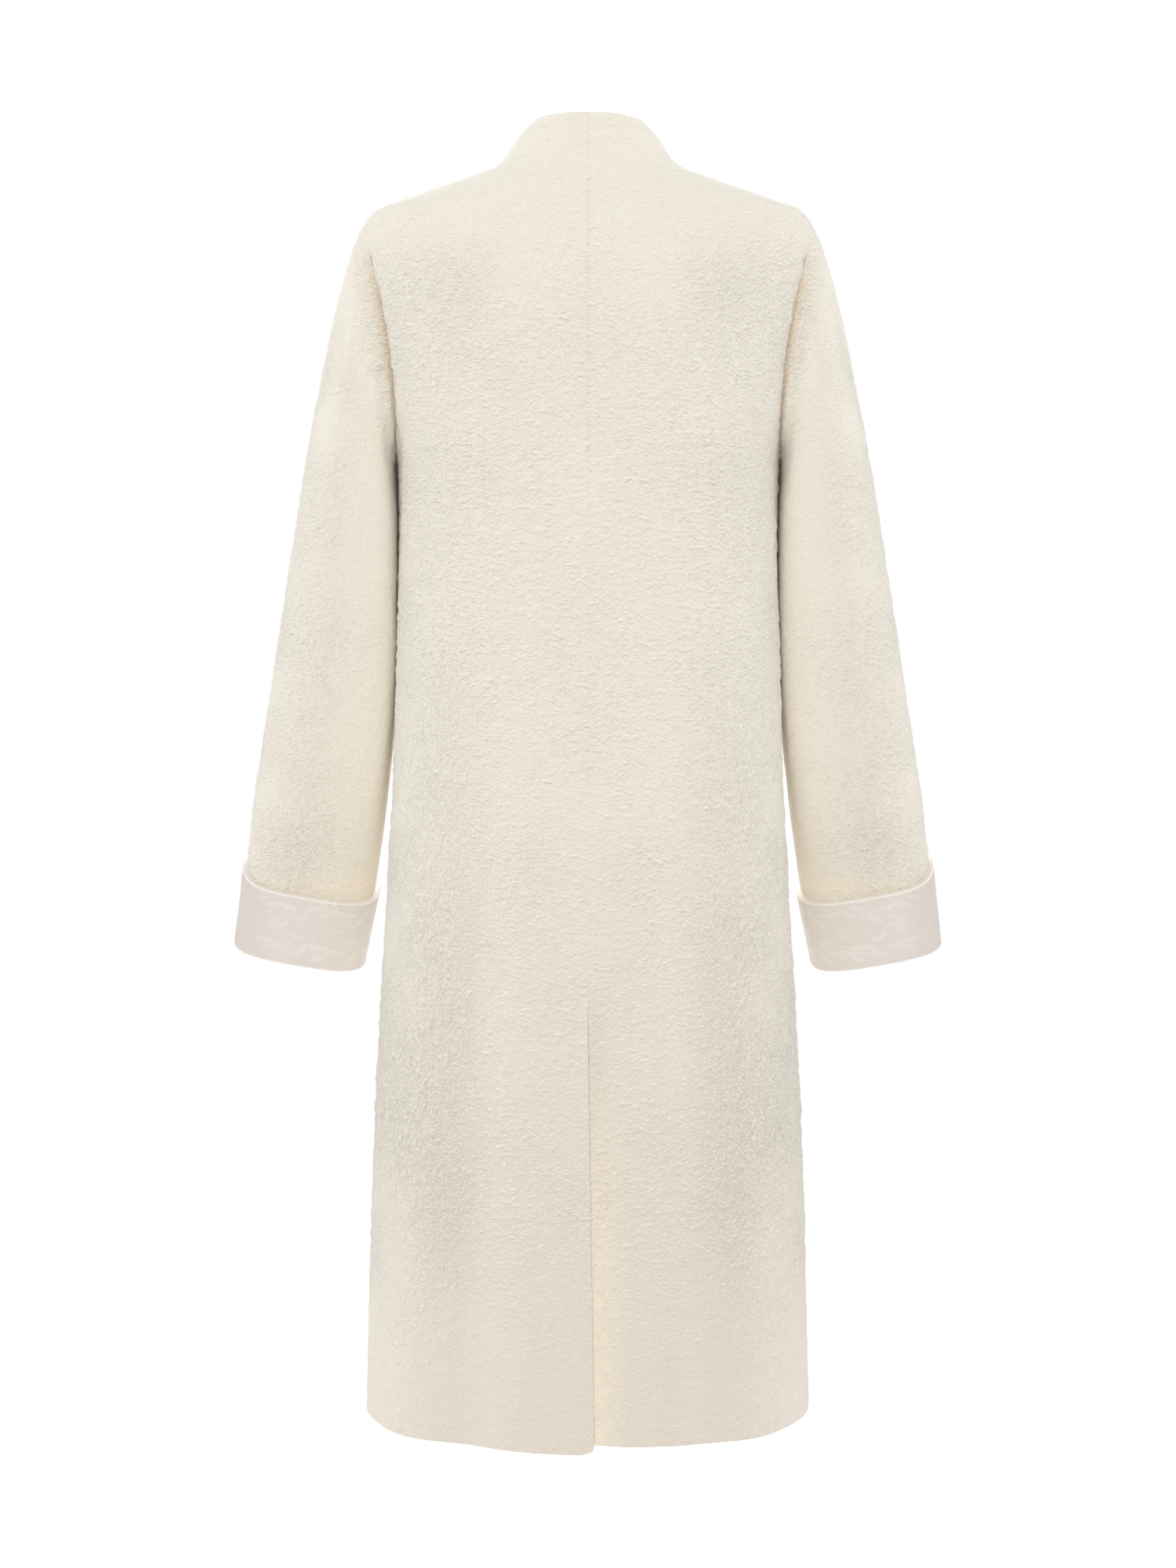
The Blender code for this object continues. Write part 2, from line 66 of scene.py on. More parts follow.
Section = namedtuple("Section", "z half_width back front square")
SECTIONS = table(Section, (
    (0.042, 0.049, 0.053, 0.056, 2.0),
    (0.03, 0.0605, 0.056, 0.06, 2.0),
    (0.016, 0.0695, 0.06, 0.064, 2.0),
    (0.008, 0.0755, 0.0625, 0.0665, 2.0),
    (0.0, 0.086, 0.066, 0.07, 2.0),
    (-0.009, 0.1085, 0.071, 0.075, 2.0),
    (-0.022, 0.1465, 0.078, 0.082, 2.05),
    (-0.03, 0.1685, 0.0818, 0.0858, 2.15),
    (-0.037, 0.186, 0.085, 0.089, 2.25),
    (-0.045, 0.193, 0.0895, 0.0935, 2.28),
    (-0.06, 0.2, 0.096, 0.1, 2.3),
    (-0.085, 0.199, 0.105, 0.109, 2.3),
    (-0.111, 0.1925, 0.112, 0.116, 2.3),
    (-0.148, 0.1835, 0.119, 0.123, 2.3),
    (-0.195, 0.1735, 0.124, 0.129, 2.3),
    (-0.236, 0.1667, 0.1255, 0.1315, 2.3),
    (-0.275, 0.1645, 0.126, 0.1325, 2.3),
    (-0.32, 0.1642, 0.1264, 0.1328, 2.3),
    (-0.4, 0.1655, 0.127, 0.133, 2.3),
    (-0.506, 0.1682, 0.128, 0.133, 2.3),
    (-0.643, 0.175, 0.131, 0.1345, 2.3),
    (-0.78, 0.1826, 0.1345, 0.137, 2.3),
    (-0.917, 0.188, 0.139, 0.141, 2.3),
    (-1.092, 0.1925, 0.144, 0.145, 2.3),
))

NECK_FOOT = 0.006
NECK_TOP = 0.042
NECK_FALL = 0.056
FALL_ABOVE = -0.12

SHOULDER_POINT = -0.037
ARMHOLE_FOOT = -0.250
ARMHOLE_BACK = 0.058
ARMHOLE_FRONT = 0.066
ARMHOLE_SQUARE = 2.2
ARMHOLE_MIDDLE = (SHOULDER_POINT + ARMHOLE_FOOT) / 2
ARMHOLE_HALF = (SHOULDER_POINT - ARMHOLE_FOOT) / 2

HEM_SIDE = -1.0715
HEM_EASE = 0.25
Hem = namedtuple("Hem", "share back_left back_right front")
HEM = table(Hem, (
    (0.0, 0.0145, 0.0068, 0.0105),
    (0.15, 0.012, 0.0087, 0.0095),
    (0.43, 0.0068, 0.006, 0.0065),
    (0.63, 0.0042, 0.0026, 0.0041),
    (0.8, 0.0014, 0.001, 0.002),
    (1.0, 0.0, 0.0, 0.0),
))

VENT_TOP = -0.716
VENT_EASE_UP = 0.015
VENT_EASE_DOWN = 0.025
VENT_SLANT = 0.005
VENT_UNDERLAP = 0.036
VENT_CORNER = 0.004

FRONT_LAP = 0.030
FRONT_LAP_NECK = 0.021
DIP_CLEAR = 0.006
DIP_WIDTH = 0.018

Fold = namedtuple("Fold", "side facing across top full height spread")
FOLDS = table(Fold, (
    (1, 1, 0.098, -0.42, -0.66, -0.005, 0.024),
    (1, 1, 0.15, -0.6, -0.86, 0.004, 0.024),
    (-1, 1, 0.096, -0.38, -0.6, -0.0045, 0.024),
    (-1, 1, 0.142, -0.52, -0.78, 0.003, 0.022),
    (-1, 1, 0.06, -0.78, -0.98, -0.003, 0.018),
    (1, -1, 0.1, -0.45, -0.7, -0.0045, 0.024),
    (1, -1, 0.148, -0.62, -0.88, 0.0035, 0.024),
    (-1, -1, 0.098, -0.42, -0.68, -0.0045, 0.024),
    (-1, -1, 0.146, -0.6, -0.88, 0.0035, 0.024),
))

Station = namedtuple("Station", "z x y half_width half_depth")
STATIONS = table(Station, (
    (-0.295, 0.2098, -0.02, 0.0443, 0.068),
    (-0.352, 0.2148, -0.031, 0.0495, 0.064),
    (-0.401, 0.2195, -0.042, 0.0535, 0.06),
    (-0.452, 0.2262, -0.055, 0.0562, 0.056),
    (-0.505, 0.234, -0.068, 0.058, 0.052),
    (-0.558, 0.242, -0.081, 0.0592, 0.048),
    (-0.594, 0.2474, -0.0895, 0.059, 0.0455),
    (-0.622, 0.2515, -0.0962, 0.0582, 0.0435),
    (-0.69, 0.2638, -0.1118, 0.0572, 0.0385),
))
SLEEVE_SQUARE = 2.6  # fuller at its corners than the solid's
INNER_SQUARE = 7.0  # and more at the back, beside the body, where it lies against it
INNER_SQUARE_LOW = 2.9  # but not further down, where it stands off
INNER_SQUARE_UP = (-0.62, 0.16)  # a ramp, see below

Head = namedtuple("Head", "around lift leave arrive")
HEAD = table(Head, (
    (0.0, 12.0, 0.024, 0.115),
    (0.08, 7.0, 0.026, 0.098),
    (0.13, 14.0, 0.028, 0.087),
    (0.18, 46.0, 0.029, 0.075),
    (0.25, 55.0, 0.03, 0.06),
    (0.5, 128.0, 0.006, 0.014),
))
HEAD += tuple(row._replace(around=1 - row.around) for row in HEAD[:-1])
HEAD_TANGENT = 0.010

CUFF_HEIGHT = 0.067
CUFF_LIFT = 0.002
CUFF_TURN_IN = 0.016
CUFF_GAP = 0.0006
CUFF_FLARE_WIDTH = 0.0020
CUFF_FLARE_DEPTH = 0.0028
CUFF_FLARE_CURVE = 1.3
SLEEVE_END = 0.0045

# ---- sizes of the looks alone

# Steps of each dense grid; every count is a multiple of COARSE, the inner face's coarser step
COARSE = 4
Fine = namedtuple("Fine", "columns lap_columns lower armhole shoulder neck")
BACK_FINE = Fine(112, 16, 368, 112, 48, 20)
FRONT_FINE = Fine(88, 0, 288, 112, 36, 20)
HEAD_RINGS = 84
SLEEVE_RINGS = 148
CUFF_RINGS = 100
CUFF_AROUND = 480
FOLD_STEPS = 8
TURN_IN_RINGS = 4
EDGE_STEPS = (0.0, 0.00015, 0.0004, 0.0008, 0.0014)  # distances of the first points from an edge
SHARP_ANGLE = math.radians(50)

EDGE_ROUND = 0.0013  # how much of the wall a free edge rounds off
ROUND_WIDTH = 0.0014
HEAD_CLEAR = 0.00003  # gap between the sleeve head and the body's edge
HEAD_LENGTH = 0.25  # rough length of the head's curves
BODY_FULLER = 0.30  # the body's corners are this much squarer than the solids'
FOLD_GAIN = 1.35  # the soft folds are this much deeper than the solids' own
LYING_GAIN = 1.2  # how soon an under piece counts as lying flat, as it dips
LYING_CALM = 0.9  # and how much of its relief it then loses
CORNER_WIDTH = 0.006  # of the lifted corner of the vent's upper flap

# A ramp is a pair: where it starts from 0, and how much further on it is 1; below 0 it runs back
SIDE_CALM = (0.0, 0.03)  # the slow waves die out towards the side seam,
CENTRE_CALM = (0.0, 0.02)  # the centre line,
HEAD_CALM = (0.0, 0.05)  # the armhole and the sleeve's end
END_CALM = (0.0, 0.05)
END_RELIEF = (-0.02, 0.08)  # and so do the sleeve's crinkles at its end
HEAD_OWN = (0.0, 0.04)  # beside the armhole the sleeve's crinkles are the body's

Waves = namedtuple("Waves", "height size")
BODY_WAVES = Waves(0.0005, (0.05, 0.05, 0.09))
SLEEVE_WAVES = Waves(0.0004, (0.045, 0.045, 0.06))

# Crinkles that run across, ones that run up and down, and small ones: width and height
CRINKLE_SIZES = ((0.0130, 0.0062), (0.0066, 0.0125), (0.0052, 0.0046))
SMALL_SHARE = 0.55
RELIEF = 0.0013
CRINKLE_SHIFT = 0.35  # a slower noise, taken elsewhere, shifts them by this share of their size
SHIFT_SLOWER = 0.6
SHIFT_ASIDE = 40
CRINKLE_MEAN = 0.25
# Painted shade in the creases between the crinkles
HOLLOW_SHADE_SHARE = 0.3
HOLLOW_SHADE_GAIN = 2.0
NAP_MOST = 1.4  # strength beyond which a crease gets no more painted shade

Nap = namedtuple("Nap", "top down inner out patch patch_size seed")
BODY_NAP = Nap(0.42, 0.58, 0.72, 0.75, 0.25, 0.055, 7)
SLEEVE_NAP = Nap(0.45, 0.55, 0.60, 0.55, 0.30, 0.045, 17)
NAP_DOWN = (0.01, -0.14)
NAP_OUT = (0.05, 0.11)
NAP_HEM = (-0.86, -0.18)
NAP_HEM_LOSS = 0.62
SLEEVE_DOWN = (-0.05, -0.12)
SLEEVE_OUT = (0.19, 0.06)
TURN_OUT = (0.06, 0.07)
TURN_LOW = (-0.32, -0.25)
TURN_ABOVE = 0.25
TURN_BELOW = 0.85
SLEEVE_TURN = 0.45

# The seam of the armhole lies sunk between a puff of the back and the roll of the sleeve
Line = namedtuple("Line", "gain width ends")  # a soft line along a seam, with a ramp for each end
DIMPLE_HEIGHT = -0.085
DIMPLE_DEPTH = 0.0022
DIMPLE_WIDTH = 0.007
PUFF = Line(1.0, 0.020, ((DIMPLE_HEIGHT + 0.008, -0.018), (-0.262, 0.06)))
PUFF_RISE = 0.0050  # how sharply the puff rises from the seam
BODY_PUFF = 0.0022
SLEEVE_PUFF = 0.0034
SEAM_CALM = Line(1.0, 0.003, ((DIMPLE_HEIGHT + 0.02, -0.02),))
# Painted shade along the armhole's seam and in the dimple at its top
CREASE_SHADE = Line(0.75, 0.0028, ((DIMPLE_HEIGHT - 0.004, -0.02), (-0.262, 0.05)))
CREASE_SHADE_DIMPLE = 0.55
CREASE_SHADE_DIMPLE_SIZE = 0.0055

CENTRE_SEAM = Line(1.0, 0.0016, ((-0.45, 0.25),))
SEAM_DROP = 0.0004
# painted shade in the centre seam's groove
SEAM_SHADE = 0.6
NECK_STITCH = 0.0095  # distance of the stitched line from the neck's edge
STITCH_WIDTH = 0.0014
STITCH_DROP = 0.0007
STITCH_CORNER = (0.020, 0.025)  # it is faintest at the centre back
STITCH_FAINT = 0.25
# painted shade in the groove of the stitched line
STITCH_SHADE = 0.15

# Painted warm shade where the cloth lies in shade, and painted shade low down, which grows towards the
# wearer's right
ARMHOLE_WARM_SHADE = Line(0.9, 0.007, ((DIMPLE_HEIGHT, -0.02), (-0.30, 0.08)))
SIDE_WARM_SHADE = Line(0.8, 0.030, ((-0.24, -0.06), (-0.60, 0.10)))
VENT_WARM_SHADE = Line(0.9, 0.018, ((VENT_TOP - 0.03, -0.15),))
VENT_WARM_SHADE_AT = 0.004
HEAD_WARM_SHADE = Line(1.2, 0.011, ((DIMPLE_HEIGHT, -0.02),))
HEAD_WARM_SHADE_WIDTH = 0.20
INNER_WARM_SHADE = 0.85
INNER_WARM_SHADE_AT = (0.44, 0.56)  # places and width in shares of the way round the sleeve
INNER_WARM_SHADE_WIDTH = 0.055
INNER_WARM_SHADE_START = (0.02, 0.05)
CUFF_WARM_SHADE = 0.75
CUFF_WARM_SHADE_DROP = 0.007  # how far below the cuff's upper edge it is warmest
CUFF_WARM_SHADE_WIDTH = 0.009
LOW_SHADE_BODY = (-0.30, -0.85)
LOW_SHADE_LEAN = 1.1
LOW_SHADE_SLEEVE = (-0.45, -0.25)
LOW_SHADE_SLEEVE_SHARE = 0.12

CUFF_RISE = 0.010  # the cuff's upper edge stands this much higher away from the back
CUFF_RISE_OUT = 0.005  # and this much more at its outer end
CUFF_RISE_FROM = 0.2
ROLLED_LIP = 0.0020  # height of the cuff's rolled upper lip
LIP_DEPTH = 0.0042  # and how much further it reaches in towards the sleeve
# the rolled lip's band, which is raised and carries a painted highlight
LIP_MIDDLE = 0.0008
LIP_WIDTH = 0.0010
LIP_RAISED = 0.0004
LIP_ROUND = 0.0011
SOFT_HEIGHT = 0.0006  # soft unevenness of the cuff
SOFT_SIZE = 0.028
SOFT_EDGE = (0.0, 0.01)
SHADE_OUT = (0.25, 0.75)  # painted shade: the cuff is dimmer towards its outer end and at its inner one
SHADE_IN = (-0.75, -0.25)
SHADE_IN_SHARE = 0.4

# The woven figure: leaves and vines that repeat round the cuff
REPEAT = 0.0575
LINE = 0.0008  # half width of its drawn lines
Frond = namedtuple("Frond", "x y angle length width")
FRONDS = table(Frond, (
    (0.0, 0.009, 0.35, 0.021, 0.0042),
    (0.017, 0.02, -0.25, 0.02, 0.0038),
    (0.036, 0.008, 0.55, 0.019, 0.0044),
    (0.052, 0.021, -0.15, 0.021, 0.004),
    (0.008, 0.033, 0.15, 0.022, 0.0042),
    (0.031, 0.031, -0.4, 0.018, 0.0036),
    (0.034, 0.043, 0.45, 0.02, 0.004),
    (0.058, 0.037, 0.1, 0.02, 0.0042),
    (0.003, 0.052, 0.25, 0.019, 0.0038),
    (0.02, 0.057, -0.2, 0.018, 0.0036),
    (0.047, 0.057, 0.05, 0.02, 0.0036),
))
FROND_BEND = 7.0  # how strongly they curl
FROND_BLUNT = 0.7
FROND_EDGE = 2.4
FROND_GROUND = 0.15
RIB_PITCH = 0.0029
RIB_SLANT = 1.3
RIB_SHARE = 0.85
VINE_HEIGHTS = (0.018, 0.045)
VINE_SWING = 0.005
VINE_PHASE = 90
VINE_SHARE = 0.6
TINY = 1e-5
BENT_SIZE = 0.014
BENT_REACH = (0.0016, 0.0014)
BENT_TURN = 40  # points round the cuff between the noises of the two directions
WORN_SIZE = 0.018
WORN_MEAN = 0.7
WORN_SWING = 0.5
FIGURE_EDGE = (0.003, 0.003)
FIGURE_RAISED = 0.00010

ROW_SAMPLES = 160
EDGE_SAMPLES = 1600
OVAL_SAMPLES = 1440
SMALL_STEP = 1e-4

SEED = 100  # one field of crinkles runs on from piece to piece
WAVE_SEED = 30
SOFT_SEEDS = (70, 60)  # right and left
BENT_SEED = 80
WORN_SEED = 90
HASH_AXES = np.array((374761393, 668265263, 2147483647))
HASH_SEED = 1274126177
HASH_LAST = 2246822519
HASH_WORD = 0xFFFFFFFF

# The photograph's frame
PHOTO_HEIGHT = 2000
PIXEL = 0.685e-3  # metres in a photo pixel at mid depth
CAMERA_BACK = 2.45
CAMERA_HEIGHT = -0.533
SENSOR = 24.0
FLOOR = -1.42


def smooth_curve(places, values):
    """A function through the values that is smooth and never overshoots them."""
    order = np.argsort(places)
    places = np.array(places, float)[order]
    values = np.array(values, float)[order]
    steps = np.diff(places)
    rises = np.diff(values) / steps
    level = rises[1:] * rises[:-1] <= 0
    total = np.where(level, 1.0, rises[1:] + rises[:-1])
    middle = np.where(level, 0.0, 2 * rises[1:] * rises[:-1] / total)
    slopes = np.concatenate([rises[:1], middle, rises[-1:]])

    def at(place):
        place = np.clip(place, places[0], places[-1])
        i = np.clip(np.searchsorted(places, place) - 1, 0, len(steps) - 1)
        s = (place - places[i]) / steps[i]
        ends = values[i] * (1 + 2 * s) * (1 - s) ** 2 + values[i + 1] * s**2 * (3 - 2 * s)
        leans = slopes[i] * s * (1 - s) ** 2 - slopes[i + 1] * s**2 * (1 - s)
        return ends + leans * steps[i]

    return at


def columns_of(table, key):
    """One smooth curve for each named column of a table, by its key column."""
    keys = [getattr(row, key) for row in table]
    return {
        name: smooth_curve(keys, [getattr(row, name) for row in table])
        for name in table[0]._fields
        if name != key
    }


def ease(share):
    """0 below 0, 1 above 1, with a soft start and end."""
    share = np.clip(share, 0.0, 1.0)
    return share * share * (3 - 2 * share)


def ramp(value, place):
    """0 before the place's start and 1 its width further on, which counts back below 0."""
    start, width = place
    return ease((value - start) / width)


def between(share, first, last):
    return first * (1 - share) + last * share


def bell(value, middle, width):
    return np.exp(-(((value - middle) / width) ** 2))


def signed_power(value, power):
    return np.sign(value) * np.abs(value) ** power


def unit(vectors):
    return vectors / np.linalg.norm(vectors, axis=-1, keepdims=True)


BODY = columns_of([row._replace(square=row.square + BODY_FULLER) for row in SECTIONS], "z")
SLEEVE = columns_of(STATIONS, "z")
HEAD_SHAPE = columns_of(HEAD, "around")
HEM_SHAPE = columns_of(HEM, "share")


# ---- form of the body


def depth_at(z, facing):
    return BODY["back"](z) if facing > 0 else BODY["front"](z)


def body_point(z, turn, facing):
    """Outer face of the left half; turn is 0 on the centre line and pi/2 at the side."""
    power = 2 / BODY["square"](z)
    x = BODY["half_width"](z) * signed_power(np.sin(turn), power)
    y = facing * depth_at(z, facing) * signed_power(np.cos(turn), power)
    return np.stack([x, y, z + 0 * x], axis=-1)


def body_normal(z, turn, facing):
    step = SMALL_STEP
    along = body_point(z, turn + step, facing) - body_point(z, turn - step, facing)
    up = body_point(z + step, turn, facing) - body_point(z - step, turn, facing)
    return unit(-facing * np.cross(along, up))


def turn_of_x(z, x):
    share = np.clip(x / BODY["half_width"](z), -1, 1)
    return np.arcsin(signed_power(share, BODY["square"](z) / 2))


def turn_of_y(z, y, facing):
    share = np.clip(y / depth_at(z, facing), 0, 1)
    return np.arccos(share ** (BODY["square"](z) / 2))


def armhole_depth(z, facing):
    """Distance of the armhole's edge from the side seam plane; 0 above and below it."""
    reach = ARMHOLE_BACK if facing > 0 else ARMHOLE_FRONT
    share = np.clip(np.abs(z - ARMHOLE_MIDDLE) / ARMHOLE_HALF, 0, 1)
    return reach * (1 - share**ARMHOLE_SQUARE) ** (1 / ARMHOLE_SQUARE)


def side_turn(z, facing):
    """Where a row ends: at the side seam, the armhole or the shoulder seam."""
    return turn_of_y(z, np.maximum(armhole_depth(z, facing), SEAM / 2), facing)


def front_lap(z):
    return between(ramp(z, (FALL_ABOVE, -FALL_ABOVE)), FRONT_LAP, FRONT_LAP_NECK)


def vent_open(z):
    """0 above the vent and 1 where its two flaps lie fully on each other."""
    return ease((VENT_TOP + VENT_EASE_UP - z) / (VENT_EASE_UP + VENT_EASE_DOWN))


def upper_flap_edge(z):
    start = VENT_TOP - VENT_EASE_DOWN
    return SEAM / 2 - VENT_SLANT * np.clip((start - z) / (start - HEM_SIDE), 0, 1)


def dip(x, upper_edge):
    """Share of the full drop of an under piece, by how near it is to the upper piece's edge."""
    return ease((upper_edge + DIP_CLEAR + DIP_WIDTH - x) / DIP_WIDTH)


def fold_height(side, facing, x, z):
    """Height of the soft folds over the plain section at these points."""
    height = 0 * x
    for fold in FOLDS:
        if (fold.side, fold.facing) != (side, facing):
            continue
        middle = fold.across * BODY["half_width"](z) / BODY["half_width"](HEM_SIDE)
        down = ramp(z, (fold.top, fold.full - fold.top))
        height = height + fold.height * bell(x, middle, fold.spread) * down
    return height


def hem_drop(side, facing, share):
    if facing < 0:
        return HEM_SHAPE["front"](share)
    return HEM_SHAPE["back_left" if side > 0 else "back_right"](share)


Panel = namedtuple("Panel", "name side facing lapped fine")
PANELS = table(Panel, (
    ("back_left", 1, 1, "over", BACK_FINE),
    ("back_right", -1, 1, "under", BACK_FINE),
    ("front_left", 1, -1, "under", FRONT_FINE),
    ("front_right", -1, -1, "over", FRONT_FINE),
))


def lengths_along(points):
    """Distance of each point of a line, or of each line of a grid, from its start."""
    steps = np.linalg.norm(np.diff(points, axis=0), axis=-1)
    return np.concatenate([0 * steps[:1], steps.cumsum(axis=0)])


def resample(points, shares):
    """Points at these shares of a line's length."""
    lengths = lengths_along(points)
    wanted = shares * lengths[-1]
    return np.stack([np.interp(wanted, lengths, column) for column in points.T], axis=-1)


def armhole_heights(count):
    """Heights of the rows that end at the armhole, foot first, even along its edge."""
    angle = np.linspace(math.pi, 0, EDGE_SAMPLES)
    z = ARMHOLE_MIDDLE + ARMHOLE_HALF * signed_power(np.cos(angle), 2 / ARMHOLE_SQUARE)
    y = ARMHOLE_BACK * np.abs(np.sin(angle)) ** (2 / ARMHOLE_SQUARE)
    return resample(np.stack([z, y], axis=-1), np.linspace(0, 1, count + 1))[:, 0]


def edge_spacing(count, length, first=True, last=True):
    """Distances along a line: crowded at its two edges and even between."""
    ends = np.array(EDGE_STEPS)
    low = ends if first else np.zeros(1)
    high = ends if last else np.zeros(1)
    middle = count + 2 - len(low) - len(high)
    between = np.linspace(low[-1], length - high[-1], middle + 1)[1:-1]
    return np.concatenate([low, between, (length - high)[::-1]])


def row_heights(fine):
    """Heights of a panel's rows at its side, from the hem to the neck's edge."""
    lower = HEM_SIDE + edge_spacing(fine.lower, ARMHOLE_FOOT - HEM_SIDE, last=False)
    shoulder = np.linspace(SHOULDER_POINT, NECK_FOOT, fine.shoulder + 1)
    neck = NECK_FOOT + edge_spacing(fine.neck, NECK_TOP - NECK_FOOT, first=False)
    return np.concatenate([lower, armhole_heights(fine.armhole)[1:], shoulder[1:], neck[1:]])


def carries_underlap(panel):
    return panel.facing > 0 and panel.lapped == "under"


def first_edge(panel, z):
    """Distance of a panel's inner edge from the centre line, negative where it laps over it."""
    if panel.facing < 0:
        return -front_lap(z)
    return upper_flap_edge(z) if panel.lapped == "over" else SEAM / 2


def row_line(panel, height, share):
    """(heights, turns) along one row; share runs from 0 at the inner edge to 1 at the side."""

    def shaped(share):
        near_hem = ease(1 - (height - HEM_SIDE) / HEM_EASE)
        z = height - hem_drop(panel.side, panel.facing, share) * near_hem
        if panel.facing < 0:
            high = np.clip((height - FALL_ABOVE) / (NECK_TOP - FALL_ABOVE), 0, 1)
            z = z - NECK_FALL * high**2 * np.cos(share * math.pi / 2) ** 2
        return z

    start = shaped(0.0)
    first = turn_of_x(start, first_edge(panel, start))
    last = side_turn(height, panel.facing)
    return shaped(share), first + (last - first) * share


Grid = namedtuple("Grid", "z turns from_inner from_side")


def panel_grid(panel):
    """Heights, turns and distances from the inner edge and the side of a panel's points."""
    rows = []
    even = np.linspace(0, 1, ROW_SAMPLES)
    for height in row_heights(panel.fine):
        z, turns = row_line(panel, height, even)
        lengths = lengths_along(body_point(z, turns, panel.facing))
        wanted = edge_spacing(panel.fine.columns, lengths[-1])
        z, turns = row_line(panel, height, np.interp(wanted, lengths, even))
        from_inner = wanted
        if carries_underlap(panel):
            out = VENT_UNDERLAP - edge_spacing(panel.fine.lap_columns, VENT_UNDERLAP, last=False)
            lap = turn_of_x(z[0], -out)[:-1]
            turns = np.concatenate([lap, turns])
            z = np.concatenate([0 * lap + z[0], z])
            from_inner = np.concatenate([-out[:-1], wanted])
        rows.append((z, turns, from_inner, wanted[-1] - from_inner))
    return Grid(*np.array(rows).transpose(1, 0, 2))


# ---- noise and relief


def lattice_noise(points, seed):
    """Smooth random heights from -1 to 1 with features about one unit across."""
    cell = np.floor(points).astype(np.int64)
    part = points - cell
    fade = part * part * part * (part * (part * 6 - 15) + 10)
    total = np.zeros(points.shape[:-1])
    for corner in np.ndindex(2, 2, 2):
        mixed = ((cell + corner) * HASH_AXES).sum(axis=-1)
        mixed = (mixed + seed * HASH_SEED) & HASH_WORD
        mixed = ((mixed ^ (mixed >> 13)) * HASH_SEED) & HASH_WORD
        mixed = ((mixed ^ (mixed >> 16)) * HASH_LAST) & HASH_WORD
        value = (mixed >> 8).astype(float) / 0x7FFFFF - 1
        total += value * np.prod(np.where(corner, fade, 1 - fade), axis=-1)
    return total


def crinkles(points, size, seed):
    """Rounded bumps parted by narrow creases, of this width and height; mean 0."""
    across, up = size
    scaled = points / np.array([across, across, up])
    shift = CRINKLE_SHIFT * lattice_noise(scaled * SHIFT_SLOWER + SHIFT_ASIDE, seed + 1)
    return np.abs(lattice_noise(scaled + shift[..., None], seed)) - CRINKLE_MEAN


def edge_drop(distance, width=ROUND_WIDTH, depth=EDGE_ROUND):
    """How far a rounded edge falls away at this distance from it."""
    inside = np.clip(1 - distance / width, 0, 1)
    return depth * (1 - np.sqrt(1 - inside**2))


def raw_normals(points, closed):
    """Unit normals of a grid of points, all to one side of it."""
    if closed:
        along = np.roll(points, -1, axis=1) - np.roll(points, 1, axis=1)
    else:
        along = np.gradient(points, axis=1)
    return unit(np.cross(along, np.gradient(points, axis=0)))


def normals_of(points, closed, outward_like):
    """Unit normals of a grid of points, turned to the side of outward_like."""
    normal = raw_normals(points, closed)
    return normal * np.sign(np.sum(normal * outward_like, axis=-1, keepdims=True))


def nap_of(points, shape, down, out):
    """How strong the crinkles are at these shares of the way down and out."""
    patch = 1 + shape.patch * lattice_noise(points / shape.patch_size, shape.seed)
    return (shape.top + shape.down * down) * (shape.inner + shape.out * out) * patch


def body_nap(points):
    """Strength of the body's crinkles: soft at neck and hem, strong down the sides."""
    z = points[..., 2]
    down = ramp(z, NAP_DOWN)
    out = ramp(np.abs(points[..., 0]), NAP_OUT) * down
    return nap_of(points, BODY_NAP, down, out) * (1 - NAP_HEM_LOSS * ramp(z, NAP_HEM))


def body_turn(points):
    """0 where the crinkles run across and 1 where they run up and down."""
    low = between(ramp(points[..., 2], TURN_LOW), TURN_ABOVE, TURN_BELOW)
    return ramp(np.abs(points[..., 0]), TURN_OUT) * low


def sleeve_nap(points):
    """Strength of a sleeve's crinkles: most along its outer side."""
    down = ramp(points[..., 2], SLEEVE_DOWN)
    return nap_of(points, SLEEVE_NAP, down, ramp(points[..., 0], SLEEVE_OUT))


def relief_of(points, nap, turn):
    """Height of the crinkled face, and how much painted shade its creases get: above 0 in a crease."""
    flat, steep, small = (
        crinkles(points, size, SEED + 10 * place) for place, size in enumerate(CRINKLE_SIZES)
    )
    mixed = between(turn, flat, steep) + SMALL_SHARE * small
    hollow = HOLLOW_SHADE_SHARE * np.clip(-HOLLOW_SHADE_GAIN * mixed, -1, 1) * np.clip(nap, 0, NAP_MOST)
    return RELIEF * nap * mixed, hollow


def seam_line(distance, z, line):
    """A soft line along a seam, which fades to its sides and its ends."""
    value = line.gain * bell(distance, 0.0, line.width)
    for end in line.ends:
        value = value * ramp(z, end)
    return value


def armhole_puff(distance, z, height):
    """Offset of the surface beside the armhole's seam, which itself stays where it is."""
    return height * seam_line(distance, z, PUFF) * (1 - bell(distance, 0.0, PUFF_RISE))


def dimple_at(distance, z, width=DIMPLE_WIDTH):
    return bell(np.hypot(distance, z - DIMPLE_HEIGHT), 0.0, width)


def crease_shade_of(distance, z):
    """Painted shade along the armhole's seam and in the dimple at its top."""
    dimple = CREASE_SHADE_DIMPLE * dimple_at(distance, z, CREASE_SHADE_DIMPLE_SIZE)
    return np.clip(seam_line(distance, z, CREASE_SHADE) + dimple, 0, 1)


def waved(points, closed, outward_like, true, waves, calm, puff):
    """The points moved out by slow waves and the armhole's puff, and their normals."""
    normals = normals_of(points, closed, outward_like)
    height = waves.height * lattice_noise(true / np.array(waves.size), SEED + WAVE_SEED)
    points = points + (height * calm + puff)[..., None] * normals
    return points, normals_of(points, closed, normals)


Surface = namedtuple("Surface", "outer inner marks")


def surface_of(side, outer, inner, marks):
    """The surface of the left piece or, where side is -1, its mirror image."""
    return Surface(outer * (side, 1, 1), inner * (side, 1, 1), marks)


